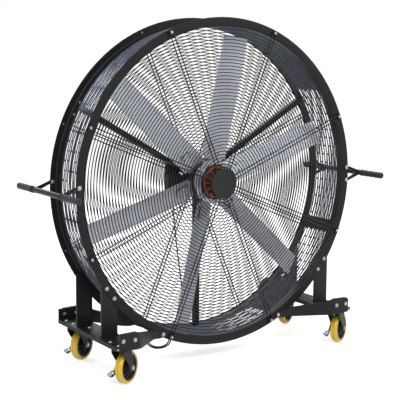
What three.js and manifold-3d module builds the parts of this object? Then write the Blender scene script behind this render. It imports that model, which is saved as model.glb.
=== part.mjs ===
// A portable drum fan: a short drum with two flat rims, wire guards, a six-blade direct-drive rotor,
// push handles at both sides and a welded base on four braked swivel casters.
// Millimetres. X runs across the fan, Y from the front guard to the rear guard, Z up from the floor.
import * as THREE from 'three';
import { mergeVertices } from 'three/addons/utils/BufferGeometryUtils.js';
import Module from 'manifold-3d';

const wasm = await Module();
wasm.setup();

// ---- driving dimensions ------------------------------------------------------------------------

const RING_SEGMENTS = 48; // facets round the rims and the drum wall
const GAP = 0.3; // clearance left between pieces that touch
const AXIS_HEIGHT = 833; // drum axis above the floor

const RIM_RADIUS = 760; // outside of both rims
const HALF_DEPTH = 128; // drum axis centre to the outer face of a rim
const WALL_INNER = 722; // inside of the drum wall
const WALL_OUTER = 727; // outside of the drum wall
const FLANGE_THICK = 4; // flat face of a rim
const RIM_LEG = 44; // part of a rim that runs inwards along the wall

const GUARD_THICK = 4.5; // wire diameter of the guards
const GUARD_BARS = [60, 66, 225, 231, 390, 396, 555, 561, 714, 720]; // ring bars, inner and outer radius
const PAIRS = 8; // double radial wires in a guard
const PAIR_PHASE = 22.5; // angle of the first pair, degrees
const PAIR_OFFSET = 9; // centre of a pair to each of its wires
const PAIR_REACH = 752; // radius where a pair ends on the rim
const DISC_RADIUS = 70; // plain disc in the middle of the front guard

const BLADES = 6;
const BLADE_PHASE = 77.5; // angle of the first blade, degrees
const BLADE_ROOT = 112;
const BLADE_TIP = 689;
const BLADE_PITCH = 20; // degrees, clockwise edge towards the front
const BLADE_Y = -7; // middle plane of the blades
const CLAMP = { width: 60, thick: 8, from: 97, to: 186, face: -11.5 };

const SHAFT_RADIUS = 17.5;
const ARM_ANGLES = [150, 30, -90];
const ARM = { width: 26, from: 26, to: 720.3, front: 88, rear: 118, wall: 4 };
const BOX = { x: [-166, -94], y: [88.4, 122], z: [-62, 28] }; // junction box, from the drum axis

const HANDLE_X = 830; // middle of the push bars
const BAR_RADIUS = 12.5;
const BAR_HALF = 294;
const GRIP_RADIUS = 16;
const GRIP_FROM = 150;
const GRIP_TO = 298;
const LUG_BOLTS = 31; // half the spacing of a handle bracket's two rim bolts

const UPRIGHT = { outer: 640, inner: 561, wall: 5, face: 123.7, depth: 10, top: 433 };
const PLATFORM = {
  outer: 658, inner: 542, front: -284, rear: 276, top: 190,
  plate: 5, lip: 18, wall: 4, ends: 50,
};
const BEAM_THICK = 4.6;
const BEAM_OUTER = 640;

const CASTER_X = 607;
const CASTER_Y = [-237, 188];
const CASTER_TURN = 28.5; // degrees, the way the casters trail
const TRAIL = 42; // swivel axis to the wheel's axle
const WHEEL_RADIUS = 75;
const WHEEL_SIDES = 20;
const AXLE_HEIGHT = WHEEL_RADIUS * Math.cos(Math.PI / WHEEL_SIDES); // a flat of the tread on the floor
const PEDAL_PIVOT = [25, 92];

const LEAD_RADIUS = 3.3;
const LEAD_LIFT = LEAD_RADIUS + GAP; // middle of a lead that lies on the floor
const LEAD_STEPS = 80;
const LEAD_SIDES = 8;
// From the gland down behind the rotor, along the wall and out through its hole.
const LEAD_DOWN = [
  [-130, 105, 746.4], [-130, 105, 722], [-127, 107, 680], [-118, 110, 620], [-108, 111, 540],
  [-95, 112, 450], [-82, 112, 360], [-74, 111, 290], [-78, 108, 225], [-98, 101, 173],
  [-138, 91, 141], [-185, 79, 143], [-226, 66, 157], [-256, 55, 164], [-280, 47, 152],
];
// From the slack turns back under the drum and down to the floor behind it.
const LEAD_BACK = [
  [-216, 10, 115], [-211, 52, 118], [-209, 94, 108], [-211, 134, 83], [-216, 172, 50],
  [-222, 206, 20], [-225, 232, 5.5],
];
const SLACK = { centre: [-280, -5, 100], radius: 56, from: 150, to: 740, step: 30, tight: 0.8, wide: 1.05 };
const SLACK_ACROSS = new THREE.Vector3(0.834, -0.552, 0);
const SLACK_BACK = new THREE.Vector3(0.491, 0.743, 0.454);
const COIL = {
  centre: [-284, 253], inner: 27, outer: 50.2, from: 22.4, turns: 6.095, layer: 7.4, perTurn: 24,
};
const PLUG_HEIGHT = 16.3;

// ---- materials ---------------------------------------------------------------------------------

const finish = (color, metalness, roughness) => () =>
  new THREE.MeshStandardMaterial({ color, metalness, roughness });
const blackPaint = finish(0x1b1c1f, 0.2, 0.5);
const blackPlastic = finish(0x17171a, 0.0, 0.6);
const discPaint = finish(0x333333, 0.1, 0.7);
const bladeMetal = finish(0x8b8f96, 0.9, 0.4);
const hubMetal = finish(0xb0b3b8, 1.0, 0.25);
const orangePaint = finish(0xb8460f, 0.2, 0.45);
const zincSteel = finish(0xa7a9ad, 0.9, 0.35);
const gripRubber = finish(0x43464d, 0.0, 0.6);
const yellowTread = finish(0xe0b318, 0.0, 0.4);
const leadRubber = finish(0x1d1d1f, 0.0, 0.6);

// ---- geometry helpers --------------------------------------------------------------------------

const radians = (degrees) => (degrees * Math.PI) / 180;
const point = (x, y) => new THREE.Vector2(x, y);
const polar = (radius, angle) => point(radius * Math.cos(angle), radius * Math.sin(angle));
const outline = (pairs) => new THREE.Shape(pairs.map(([x, y]) => point(x, y)));

/** Ring or solid of revolution about Y from a closed (radius, y) outline. */
function turned(pairs, segments) {
  const points = pairs.map(([r, y]) => point(r, y));
  if (THREE.ShapeUtils.isClockWise(points)) {
    points.reverse();
  }
  const onAxis = points.findIndex((p, i) => p.x === 0 && points.at(i - 1).x === 0);
  if (onAxis >= 0) {
    const rotated = [...points.slice(onAxis), ...points.slice(0, onAxis)];
    return new THREE.LatheGeometry(rotated, segments);
  }
  return new THREE.LatheGeometry([...points, points[0]], segments);
}

/** Shape drawn in X and Z, standing between two Y planes. */
function standing(shape, yFrom, yTo) {
  const geometry = new THREE.ExtrudeGeometry(shape, { depth: yTo - yFrom, bevelEnabled: false });
  return geometry.rotateX(Math.PI / 2).translate(0, yTo, 0);
}

/** Shape drawn in X and Y, lying between two Z planes. */
function lying(shape, zFrom, zTo) {
  const geometry = new THREE.ExtrudeGeometry(shape, { depth: zTo - zFrom, bevelEnabled: false });
  return geometry.translate(0, 0, zFrom);
}

/** Box between two corners. */
function block([x1, x2], [y1, y2], [z1, z2]) {
  const geometry = new THREE.BoxGeometry(x2 - x1, y2 - y1, z2 - z1);
  return geometry.translate((x1 + x2) / 2, (y1 + y2) / 2, (z1 + z2) / 2);
}

/** Round bar along Y. */
function roundBar(radius, yFrom, yTo, sides) {
  return new THREE.CylinderGeometry(radius, radius, yTo - yFrom, sides).translate(0, (yFrom + yTo) / 2, 0);
}

function solidOf(geometry) {
  const bare = geometry.clone();
  bare.deleteAttribute('normal');
  bare.deleteAttribute('uv');
  const merged = mergeVertices(bare, 1e-3);
  const mesh = new wasm.Mesh({
    numProp: 3,
    vertProperties: new Float32Array(merged.attributes.position.array),
    triVerts: new Uint32Array(merged.index.array),
  });
  return new wasm.Manifold(mesh);
}

function geometryOf(solid) {
  const mesh = solid.getMesh();
  const geometry = new THREE.BufferGeometry();
  geometry.setAttribute('position', new THREE.BufferAttribute(mesh.vertProperties, 3));
  geometry.setIndex(new THREE.BufferAttribute(mesh.triVerts, 1));
  geometry.computeVertexNormals();
  return geometry;
}

const joined = (...geometries) => geometryOf(geometries.map(solidOf).reduce((a, b) => a.add(b)));
const cut = (...geometries) => geometryOf(geometries.map(solidOf).reduce((a, b) => a.subtract(b)));
const common = (a, b) => geometryOf(solidOf(a).intersect(solidOf(b)));

function piece(name, geometry, material) {
  const mesh = new THREE.Mesh(geometry, material());
  mesh.name = name;
  return mesh;
}

/** Group turned about Y so that its +X points at an angle up from X, in degrees. */
function spoke(angle, ...meshes) {
  const group = new THREE.Group();
  group.rotation.y = -radians(angle);
  group.add(...meshes);
  return group;
}

// ---- drum --------------------------------------------------------------------------------------

/** Flat rim face with a leg along the drum wall. side is -1 at the front and 1 at the rear. */
function rim(name, side) {
  const face = side * HALF_DEPTH;
  const back = side * (HALF_DEPTH - FLANGE_THICK);
  const end = side * (HALF_DEPTH - RIM_LEG);
  const profile = [
    [WALL_INNER, face], [RIM_RADIUS, face], [RIM_RADIUS, back],
    [WALL_OUTER, back], [WALL_OUTER, end], [WALL_INNER, end],
  ];
  return piece(name, turned(profile, RING_SEGMENTS), blackPaint);
}

/** The wall between the rims, with the hole that the lead leaves through. */
function drumWall() {
  const edge = HALF_DEPTH - RIM_LEG - GAP;
  const profile = [[WALL_INNER, -edge], [WALL_OUTER, -edge], [WALL_OUTER, edge], [WALL_INNER, edge]];
  const from = new THREE.Vector3(...LEAD_DOWN.at(-2));
  const to = new THREE.Vector3(...LEAD_DOWN.at(-1));
  const way = to.clone().sub(from).normalize();
  const bore = new THREE.CylinderGeometry(LEAD_RADIUS + 8, LEAD_RADIUS + 8, 60, 12);
  bore.applyQuaternion(new THREE.Quaternion().setFromUnitVectors(new THREE.Vector3(0, 1, 0), way));
  bore.translate(...from.lerp(to, 0.75).toArray()).translate(0, 0, -AXIS_HEIGHT);
  return piece('drum_wall', cut(turned(profile, RING_SEGMENTS), bore), blackPaint);
}

/** Points on an arc about the origin, from one angle to another. */
function arc(radius, from, to, steps) {
  return Array.from({ length: steps + 1 }, (_, i) => polar(radius, from + ((to - from) * i) / steps));
}

/** Guard outline: rings joined by pairs of radial wires, with the pairs' ends reaching over the rim. */
function guardShape() {
  const half = PAIR_OFFSET + GUARD_THICK / 2;
  const slot = PAIR_OFFSET - GUARD_THICK / 2;
  const edge = GUARD_BARS.at(-1);
  const angles = Array.from({ length: PAIRS }, (_, k) => radians(PAIR_PHASE + (360 / PAIRS) * k));
  const step = radians(360 / PAIRS);
  const rimPoints = [];
  const holes = [];
  const beside = (angle, radius, offset) => polar(radius, angle + Math.asin(offset / radius));
  for (const angle of angles) {
    const swing = Math.asin(half / edge);
    rimPoints.push(beside(angle, PAIR_REACH, -half), beside(angle, PAIR_REACH, half));
    rimPoints.push(...arc(edge, angle + swing, angle + step - swing, 6));
    for (let i = 1; i + 1 < GUARD_BARS.length; i += 2) {
      const [inner, outer] = [GUARD_BARS[i], GUARD_BARS[i + 1]];
      const [swingIn, swingOut] = [Math.asin(half / inner), Math.asin(half / outer)];
      const far = arc(outer, angle + swingOut, angle + step - swingOut, 5);
      const near = arc(inner, angle + step - swingIn, angle + swingIn, 3);
      holes.push([...far, ...near]);
      holes.push([
        beside(angle, inner, -slot), beside(angle, outer, -slot),
        beside(angle, outer, slot), beside(angle, inner, slot),
      ]);
    }
  }
  holes.push(arc(GUARD_BARS[0], 0, radians(360), 24).slice(0, -1));
  const shape = new THREE.Shape(rimPoints);
  shape.holes = holes.map((points) => new THREE.Path(points));
  return shape;
}

function guards() {
  const near = HALF_DEPTH + GAP;
  const far = near + GUARD_THICK;
  const shape = guardShape();
  const disc = roundBar(DISC_RADIUS, -far - GAP - 3, -far - GAP, 32);
  return [
    piece('front_guard', standing(shape, -far, -near), blackPaint),
    piece('rear_guard', standing(shape, near, far), blackPaint),
    piece('guard_disc', disc, discPaint),
  ];
}

// ---- motor and rotor ---------------------------------------------------------------------------

/** Fixed shaft with the motor's rear cover and the flange that the arms are bolted to. */
function motorMount() {
  const r = SHAFT_RADIUS;
  const profile = [
    [0, -60], [r, -60], [r, 10.7], [106, 10.7], [106, 19],
    [45, 19], [45, 60], [92, 60], [92, 87.6], [0, 87.6],
  ];
  return piece('motor_mount', turned(profile, 32), blackPaint);
}

function stator() {
  const r = SHAFT_RADIUS + 0.5;
  const profile = [[r, -32], [94, -32], [94, 4], [r, 4]];
  return piece('stator', turned(profile, 32), zincSteel);
}

/** Channel from the motor flange out to the rear rim. */
function motorArm(name, angle) {
  const half = ARM.width / 2;
  const inside = half - ARM.wall;
  const floor = ARM.front + ARM.wall;
  const section = outline([
    [-half, ARM.front], [half, ARM.front], [half, ARM.rear], [inside, ARM.rear],
    [inside, floor], [-inside, floor], [-inside, ARM.rear], [-half, ARM.rear],
  ]);
  const geometry = lying(section, ARM.from, ARM.to).rotateY(Math.PI / 2);
  return spoke(angle, piece(name, geometry, blackPaint));
}

function junctionBox() {
  const lug = block([-128, -104], [BOX.y[1] - 3.4, BOX.y[1]], [BOX.z[1] - 4, BOX.z[1] + 32]);
  return piece('junction_box', joined(block(BOX.x, BOX.y, BOX.z), lug), blackPlastic);
}

/** Cable gland under the junction box. */
function gland() {
  const profile = [[0, 0], [11, 0], [11, -9], [8, -11], [6.5, -24], [0, -24]];
  const geometry = turned(profile, 12).rotateX(Math.PI / 2);
  const mesh = piece('cable_gland', geometry, blackPlastic);
  mesh.position.set(LEAD_DOWN[0][0], LEAD_DOWN[0][1], BOX.z[0] - GAP);
  return mesh;
}

/** Matrix that carries a section drawn along chord and thickness out along a blade that points to +X. */
function bladeFrame() {
  const chord = new THREE.Vector3(0, -Math.sin(radians(BLADE_PITCH)), -Math.cos(radians(BLADE_PITCH)));
  const out = new THREE.Vector3(1, 0, 0);
  const normal = out.clone().cross(chord);
  return new THREE.Matrix4().makeBasis(chord, normal, out).setPosition(0, BLADE_Y, 0);
}

/** Cambered blade of constant section, its hollow side towards the front. */
function blade(name, index) {
  const section = outline([
    [-58, 0], [-54, -2.5], [-38, -1], [-10, 1.5], [20, 1.5], [45, -0.2], [58, -0.9],
    [58, 0.9], [45, 5], [20, 9.5], [-10, 11.5], [-38, 9], [-54, 4.5],
  ]);
  const geometry = lying(section, BLADE_ROOT, BLADE_TIP).applyMatrix4(bladeFrame());
  return spoke(BLADE_PHASE - (360 / BLADES) * index, piece(name, geometry, bladeMetal));
}

/** Rotor cup with its bearing seat, front ring, collar round the cap and six blade clamps. */
function rotorHub() {
  const bore = SHAFT_RADIUS + 0.8;
  const profile = [
    [bore, -46], [81.8, -46], [81.8, -64], [85.5, -64], [85.5, -46], [104, -46], [104, -40],
    [102, -38], [102, 8], [96.5, 8], [96.5, -38], [32, -38], [32, -34.5], [bore, -34.5],
  ];
  const frame = bladeFrame();
  const half = CLAMP.width / 2;
  const clamps = Array.from({ length: BLADES }, (_, k) => {
    const pad = block([-half, half], [CLAMP.face, CLAMP.face + CLAMP.thick], [CLAMP.from, CLAMP.to]);
    return pad.applyMatrix4(frame).rotateY(-radians(BLADE_PHASE - (360 / BLADES) * k));
  });
  return piece('rotor_hub', joined(turned(profile, 32), ...clamps), hubMetal);
}

/** Vented cap over the front of the motor. */
function motorCap() {
  const profile = [[0, -76], [81, -76], [81, -46.3], [75, -46.3], [75, -71], [0, -71]];
  const slots = Array.from({ length: 12 }, (_, k) => {
    const slot = block([34, 68], [-80, -66], [-5, 5]);
    return slot.rotateY(radians(30 * k + 15));
  });
  return piece('motor_cap', cut(turned(profile, 32), ...slots), orangePaint);
}

// ---- handles -----------------------------------------------------------------------------------

/** V-shaped bracket between two rim bolts and the push bar, drawn for the right side. */
function handleLug(yFrom, yTo) {
  const shape = outline([
    [740, LUG_BOLTS + 8], [752, LUG_BOLTS + 9], [832, 7], [832, -7],
    [752, -LUG_BOLTS - 9], [740, -LUG_BOLTS - 8],
  ]);
  const notch = outline([[758, LUG_BOLTS - 6], [808, 0], [758, -LUG_BOLTS + 6]]);
  const pocket = block([739, 748], [yFrom - 1, yTo + 1], [-LUG_BOLTS + 8, LUG_BOLTS - 8]);
  return cut(standing(shape, yFrom, yTo), standing(notch, yFrom - 1, yTo + 1), pocket);
}

/** Push bar with a bracket at each end, welded up as one piece. */
function handleBar() {
  const near = HALF_DEPTH + GAP;
  const bar = roundBar(BAR_RADIUS, -BAR_HALF, BAR_HALF, 12).translate(HANDLE_X, 0, 0);
  return joined(bar, handleLug(-near - 5, -near), handleLug(near, near + 5));
}

/** Grip closed at its outer end, slipped over the bar's rear end. */
function grip() {
  const bore = BAR_RADIUS + 0.9;
  const floor = BAR_HALF + GAP;
  const profile = [
    [0, GRIP_TO], [GRIP_RADIUS - 2, GRIP_TO], [GRIP_RADIUS, GRIP_TO - 2], [GRIP_RADIUS, GRIP_FROM],
    [bore, GRIP_FROM], [bore, floor], [0, floor],
  ];
  return turned(profile, 12).translate(HANDLE_X, 0, 0);
}

function handles() {
  return [['left', 180], ['right', 0]].map(([side, turn]) => {
    const group = new THREE.Group();
    const [own, other] = turn ? ['front', 'rear'] : ['rear', 'front'];
    group.rotation.z = radians(turn);
    group.add(piece(`${side}_handle`, handleBar(), blackPaint));
    group.add(piece(`${side}_${own}_grip`, grip(), gripRubber));
    const turnedGrip = piece(`${side}_${other}_grip`, grip().rotateX(Math.PI), gripRubber);
    group.add(turnedGrip);
    return group;
  });
}

// ---- base --------------------------------------------------------------------------------------

/** Plate upright with narrow edge folds behind a rim, cut round to clear the drum wall. */
function upright(side, end) {
  const { outer, inner, wall, face, depth, top } = UPRIGHT;
  const section = outline([
    [outer, face], [inner, face], [inner, face - depth], [inner + wall, face - depth],
    [inner + wall, face - wall], [outer - wall, face - wall],
    [outer - wall, face - depth], [outer, face - depth],
  ].map(([x, y]) => [side * x, end * y]));
  const post = lying(section, PLATFORM.top + GAP, top);
  const drum = roundBar(WALL_OUTER + 3.5, -HALF_DEPTH, HALF_DEPTH, 96).translate(0, 0, AXIS_HEIGHT);
  return cut(post, drum);
}

/** Side platform: a plate with its long edges folded down and its ends folded up. */
function platform(side) {
  const { outer, inner, front, rear, top, plate, lip, wall, ends } = PLATFORM;
  const across = (a, b) => [side * a, side * b].sort((p, q) => p - q);
  const deck = top - plate;
  return joined(
    block(across(outer, inner), [front, rear], [deck, top]),
    block(across(outer, outer - wall), [front, rear], [top - lip, deck + 1]),
    block(across(inner, inner + wall), [front, rear], [top - lip, deck + 1]),
    block(across(outer - 2, inner + 2), [front, front + wall], [deck + 1, top + ends]),
    block(across(outer - 2, inner + 2), [rear - wall, rear], [deck + 1, top + ends]),
  );
}

/** Strip of one thickness along a bent line. */
function strip(line, thick) {
  const normals = line.slice(1).map((p, i) => {
    const way = point(p[0] - line[i][0], p[1] - line[i][1]).normalize();
    return point(-way.y, way.x);
  });
  const side = (sign) => line.map(([x, y], i) => {
    const a = normals[Math.max(i - 1, 0)];
    const b = normals[Math.min(i, normals.length - 1)];
    const mitre = a.clone().add(b).multiplyScalar((sign * thick) / 2 / (1 + a.dot(b)));
    return [x + mitre.x, y + mitre.y];
  });
  return outline([...side(1), ...side(-1).reverse()]);
}

/** Folded beam from a platform's end in to the drum rim. */
function beam(side, end) {
  const y = end < 0 ? PLATFORM.front - GAP - BEAM_THICK / 2 : PLATFORM.rear + GAP + BEAM_THICK / 2;
  const rimY = end * (HALF_DEPTH + GAP + BEAM_THICK / 2);
  const plan = [[BEAM_OUTER, y], [540, y], [378, rimY], [312, rimY]].map(([x, v]) => [side * x, v]);
  const elevation = outline([
    [BEAM_OUTER, 171], [540, 168], [400, 151], [352, 147], [324, 149], [313, 158],
    [316, 170], [333, 175], [400, 197], [557, 245], [BEAM_OUTER - 9, 243], [BEAM_OUTER, 236],
  ].map(([x, z]) => [side * x, z]));
  return common(lying(strip(plan, BEAM_THICK), 120, 260), standing(elevation, -320, 320));
}

function base() {
  const pieces = [];
  for (const [side, sideName] of [[-1, 'left'], [1, 'right']]) {
    pieces.push(piece(`${sideName}_platform`, platform(side), blackPaint));
    for (const [end, endName] of [[-1, 'front'], [1, 'rear']]) {
      pieces.push(piece(`${sideName}_${endName}_upright`, upright(side, end), blackPaint));
      pieces.push(piece(`${sideName}_${endName}_beam`, beam(side, end), blackPaint));
    }
  }
  return pieces;
}

// ---- casters, each about its own swivel axis ---------------------------------------------------

/** Fixed top plate with the swivel race. */
function casterPlate() {
  const top = PLATFORM.top - PLATFORM.plate - GAP;
  const plate = block([-44, 44], [-46, 46], [top - 6, top]);
  const race = new THREE.CylinderGeometry(29, 29, 13.3, 24).rotateX(Math.PI / 2).translate(0, 0, top - 12.3);
  return joined(plate, race);
}

/** Fork with its axle bolt. */
function casterFork() {
  const leg = outline([
    [-30, 165], [36, 165], [56, 84], [55, 66], [48, 59], [36, 59], [29, 66], [2, 110], [-30, 150],
  ]);
  const head = block([-32, 36], [-31, 31], [159.4, 165.4]);
  const axle = roundBar(6, -36, 36, 16).translate(TRAIL, 0, AXLE_HEIGHT);
  const nuts = [-1, 1].map((s) => {
    const [a, b] = [s * 30.5, s * 38].sort((p, q) => p - q);
    return roundBar(10.5, a, b, 6).translate(TRAIL, 0, AXLE_HEIGHT);
  });
  return joined(head, standing(leg, -31, -26), standing(leg, 26, 31), axle, ...nuts);
}

/** Wheel core with hub, web and rim band. */
function wheelCore() {
  const profile = [
    [6.7, -24], [16, -24], [18, -7], [50, -7], [52, -17], [60, -17],
    [60, 17], [52, 17], [50, 7], [18, 7], [16, 24], [6.7, 24],
  ];
  return turned(profile, WHEEL_SIDES);
}

function wheelTread() {
  const r = WHEEL_RADIUS;
  const profile = [[60.3, -18], [70, -18], [r, -8], [r, 8], [70, 18], [60.3, 18]];
  return turned(profile, WHEEL_SIDES);
}

/** Brake pedal: a lever on the fork's far side with a foot tab that curves down outwards. */
function brakePedal() {
  const [x, z] = PEDAL_PIVOT;
  const arm = outline([
    [x + 8, z + 4], [x + 3, z + 9], [x - 4, z + 8], [-24, 70], [-28, 64], [-28, 44], [-4, 44],
    [-2, 58], [x + 6, z - 7],
  ]);
  const end = [[31.4, 44], [31.4, 66], [41, 65], [49, 60], [54, 52], [56, 44]];
  const hollow = [[31.4, 40], [31.4, 62], [39, 61], [45.5, 57], [50.5, 50], [52, 40]];
  const across = (pairs) => outline(pairs.map(([y, height]) => [-height, y]));
  const tab = lying(across(end), -28, -4).rotateY(Math.PI / 2);
  const inside = lying(across(hollow), -25, 0).rotateY(Math.PI / 2);
  const lever = standing(arm, 31.4, 34.6);
  return joined(lever, cut(tab, inside));
}

function caster(name, x, y) {
  const group = new THREE.Group();
  group.position.set(x, y, 0);
  const swivel = new THREE.Group();
  swivel.rotation.z = radians(CASTER_TURN);
  swivel.add(piece(`${name}_fork`, casterFork(), blackPaint));
  swivel.add(piece(`${name}_pedal`, brakePedal(), zincSteel));
  const wheel = new THREE.Group();
  wheel.position.set(TRAIL, 0, AXLE_HEIGHT);
  wheel.rotation.y = Math.PI / WHEEL_SIDES;
  wheel.add(piece(`${name}_wheel_core`, wheelCore(), blackPlastic));
  wheel.add(piece(`${name}_tread`, wheelTread(), yellowTread));
  swivel.add(wheel);
  group.add(piece(`${name}_caster_plate`, casterPlate(), blackPaint), swivel);
  return group;
}

function casters() {
  const rows = [['front', CASTER_Y[0]], ['rear', CASTER_Y[1]]];
  const columns = [['left', -CASTER_X], ['right', CASTER_X]];
  return columns.flatMap(([side, x]) => rows.map(([end, y]) => caster(`${side}_${end}`, x, y)));
}

// ---- mains lead --------------------------------------------------------------------------------

/** Slack turns that hang under the drum, widening as they go round. */
function slackTurns() {
  const { centre, radius, from, to, step, tight, wide } = SLACK;
  const points = [];
  for (let angle = from; angle <= to; angle += step) {
    const size = radius * THREE.MathUtils.lerp(tight, wide, (angle - from) / (to - from));
    const spot = new THREE.Vector3(...centre);
    spot.addScaledVector(SLACK_ACROSS, size * Math.cos(radians(angle)));
    spot.addScaledVector(SLACK_BACK, size * Math.sin(radians(angle)));
    points.push(spot);
  }
  return points;
}

/** Coil: in along the floor, up one layer at the middle and out again, ending level with the plug. */
function coilPoints() {
  const { centre, inner, outer, from, turns, layer, perTurn } = COIL;
  const count = Math.round(turns * perTurn);
  const points = [];
  for (let i = 0; i <= count; i += 1) {
    const share = i / count;
    const angle = radians(from + 360 * turns * share);
    const radius = inner + (outer - inner) * Math.abs(1 - 2 * share);
    const climb = THREE.MathUtils.clamp((share - 0.5) * turns * 2 + 0.5, 0, 1);
    const lift = THREE.MathUtils.clamp((share - 1) * turns * 3 + 1, 0, 1);
    const z = LEAD_LIFT + climb * layer + lift * (PLUG_HEIGHT - LEAD_LIFT - layer);
    const spot = polar(radius, angle);
    points.push(new THREE.Vector3(centre[0] + spot.x, centre[1] + spot.y, z));
  }
  return points;
}

/** Adds a straight run of one lead diameter at each end. */
function withStraightEnds(points) {
  const first = points[0].clone().sub(points[1]).setZ(0).normalize().multiplyScalar(2 * LEAD_RADIUS);
  const last = points.at(-1).clone().sub(points.at(-2)).setZ(0).normalize().multiplyScalar(2 * LEAD_RADIUS);
  return [points[0].clone().add(first), ...points, points.at(-1).clone().add(last)];
}

function tube(points, radius, sides, steps) {
  const section = new THREE.Shape(arc(radius, 0, radians(360), sides).slice(0, -1));
  const extrudePath = new THREE.CatmullRomCurve3(points, false, 'centripetal');
  return new THREE.ExtrudeGeometry(section, { steps, extrudePath, bevelEnabled: false });
}

/** Least distance between the surfaces of a tube's separate turns. */
function leastSelfGap(points, radius, apart) {
  let least = Infinity;
  points.forEach((a, i) => {
    for (let j = i + apart; j < points.length; j += 1) {
      least = Math.min(least, a.distanceTo(points[j]) - 2 * radius);
    }
  });
  return least;
}

/** Plug with a tapered strain relief, its axis along X and its pins towards +X. */
function plug() {
  const body = turned([[0, 0], [6, 0], [9, 26], [15, 32], [16, 44], [16, 76], [0, 76]], 12);
  const pins = [-9.5, 9.5].map((x) => roundBar(2.4, 70, 95, 8).translate(x, 0, 0));
  return joined(body, ...pins).rotateZ(-Math.PI / 2);
}

function lead() {
  const coil = withStraightEnds(coilPoints());
  const before = coil[0].clone().sub(coil[1]).normalize();
  const start = coil[0].clone().addScaledVector(before, GAP);
  const approach = start.clone().addScaledVector(before, 3 * LEAD_RADIUS);
  const down = LEAD_DOWN.map((p) => new THREE.Vector3(...p));
  const back = LEAD_BACK.map((p) => new THREE.Vector3(...p));
  const free = [...down, ...slackTurns(), ...back, approach, start];
  const end = coil.at(-1);
  const way = end.clone().sub(coil.at(-2)).setZ(0).normalize();
  const plugMesh = piece('plug', plug(), blackPlastic);
  plugMesh.position.copy(end).addScaledVector(way, GAP);
  plugMesh.rotation.z = Math.atan2(way.y, way.x);
  const finer = new THREE.CatmullRomCurve3(coil, false, 'centripetal').getSpacedPoints(800);
  console.log('coil: least gap between turns', leastSelfGap(finer, LEAD_RADIUS, 60).toFixed(2), 'mm');
  return [
    piece('lead', tube(free, LEAD_RADIUS, LEAD_SIDES, LEAD_STEPS), leadRubber),
    piece('lead_coil', tube(coil, LEAD_RADIUS, 6, coil.length - 1), leadRubber),
    plugMesh,
  ];
}

// ---- assembly ----------------------------------------------------------------------------------

const drum = new THREE.Group();
drum.position.z = AXIS_HEIGHT;
drum.add(rim('front_rim', -1), rim('rear_rim', 1), drumWall(), ...guards());
drum.add(motorMount(), stator(), rotorHub(), motorCap(), junctionBox(), gland());
drum.add(...ARM_ANGLES.map((angle, k) => motorArm(`motor_arm_${k + 1}`, angle)));
drum.add(...Array.from({ length: BLADES }, (_, k) => blade(`blade_${k + 1}`, k)));
drum.add(...handles());

const fan = new THREE.Group();
fan.add(drum, ...base(), ...casters(), ...lead());
export default fan;
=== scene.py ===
"""Looks of a portable drum fan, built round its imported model.

Metres, +X to the right seen from the front, +Y to the rear guard, +Z up. The rows given to mm() are in
millimetres.
"""

import logging
import math
from collections.abc import Sequence
from dataclasses import dataclass
from enum import Enum
from functools import cache

import bpy
import numpy as np
from mathutils import Matrix, Vector


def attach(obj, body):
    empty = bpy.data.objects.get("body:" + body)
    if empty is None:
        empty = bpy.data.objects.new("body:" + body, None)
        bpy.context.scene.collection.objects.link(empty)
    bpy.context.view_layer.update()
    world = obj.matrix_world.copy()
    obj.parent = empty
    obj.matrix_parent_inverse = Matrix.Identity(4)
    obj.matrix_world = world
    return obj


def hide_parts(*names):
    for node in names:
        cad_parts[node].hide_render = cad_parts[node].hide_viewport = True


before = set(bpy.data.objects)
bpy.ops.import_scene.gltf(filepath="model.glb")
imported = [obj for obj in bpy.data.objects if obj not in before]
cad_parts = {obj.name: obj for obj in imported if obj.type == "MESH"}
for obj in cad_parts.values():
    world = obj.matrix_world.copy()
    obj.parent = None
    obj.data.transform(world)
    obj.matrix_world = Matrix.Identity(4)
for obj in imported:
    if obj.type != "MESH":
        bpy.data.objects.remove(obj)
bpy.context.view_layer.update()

LOG = logging.getLogger("drum_fan")

Array = np.ndarray
Colour = tuple[float, float, float]
Point = tuple[float, float, float]

MM = 0.001
TURN = 2 * math.pi
X, Y, Z = np.eye(3)
AXIS = np.array([0.0, 0.0, 0.833])  # the drum's centre
SIDES = {"left": -1.0, "right": 1.0}
ENDS = {"front": -1.0, "rear": 1.0}
RIM_FACE = 0.128  # outer face of a rim, from the middle of the drum
RIM_SHEET = 0.004  # a rim's thickness
RIM_BOLTS = 0.7455  # radius of the bolts on the rims
CASTER_COLUMN = 0.607  # swivel axes from the middle of the fan
CASTER_ROWS = {"front": -0.237, "rear": 0.188}  # swivel axes
CASTER_BOLTS = [(x, y) for x in (-0.033, 0.033) for y in (-0.036, 0.036)]  # from the swivel axis
SHARP = 35.0  # degrees past which an edge stays sharp
BEVELLED = 40.0  # degrees past which an edge is rounded, where a piece has rounded edges
SINK = 0.0004  # how far a bolt head or a weld goes into what it holds
GAP = 0.0003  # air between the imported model's pieces that touch


# ---- shapes as whole arrays ----------------------------------------------------------------------


def mm(*rows: Sequence[float]) -> Array:
    """Rows of millimetres, as an array in metres."""
    return np.array(rows) * MM


def unit(vectors: Array) -> Array:
    """The vectors at length one."""
    return vectors / np.linalg.norm(vectors, axis=-1, keepdims=True)


def across(axis: Array) -> tuple[Array, Array]:
    """Two directions square to an axis, which make a right-handed set before it.

    The first is the cross product of Z and the axis, or of Y and the axis where the axis is near Z.

    Args:
        axis: A direction, or one in each row.

    Returns:
        The two directions, at length one.
    """
    axis = unit(np.asarray(axis, float))
    side = unit(np.cross(np.where(np.abs(axis[..., 2:]) < 0.9, Z, Y), axis))
    return side, np.cross(axis, side)


def disc(radius: float, sides: int) -> Array:
    """Points of a circle: radius (cos t, sin t) for t once round."""
    angle = np.arange(sides) * TURN / sides
    return radius * np.stack([np.cos(angle), np.sin(angle)], -1)


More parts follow.
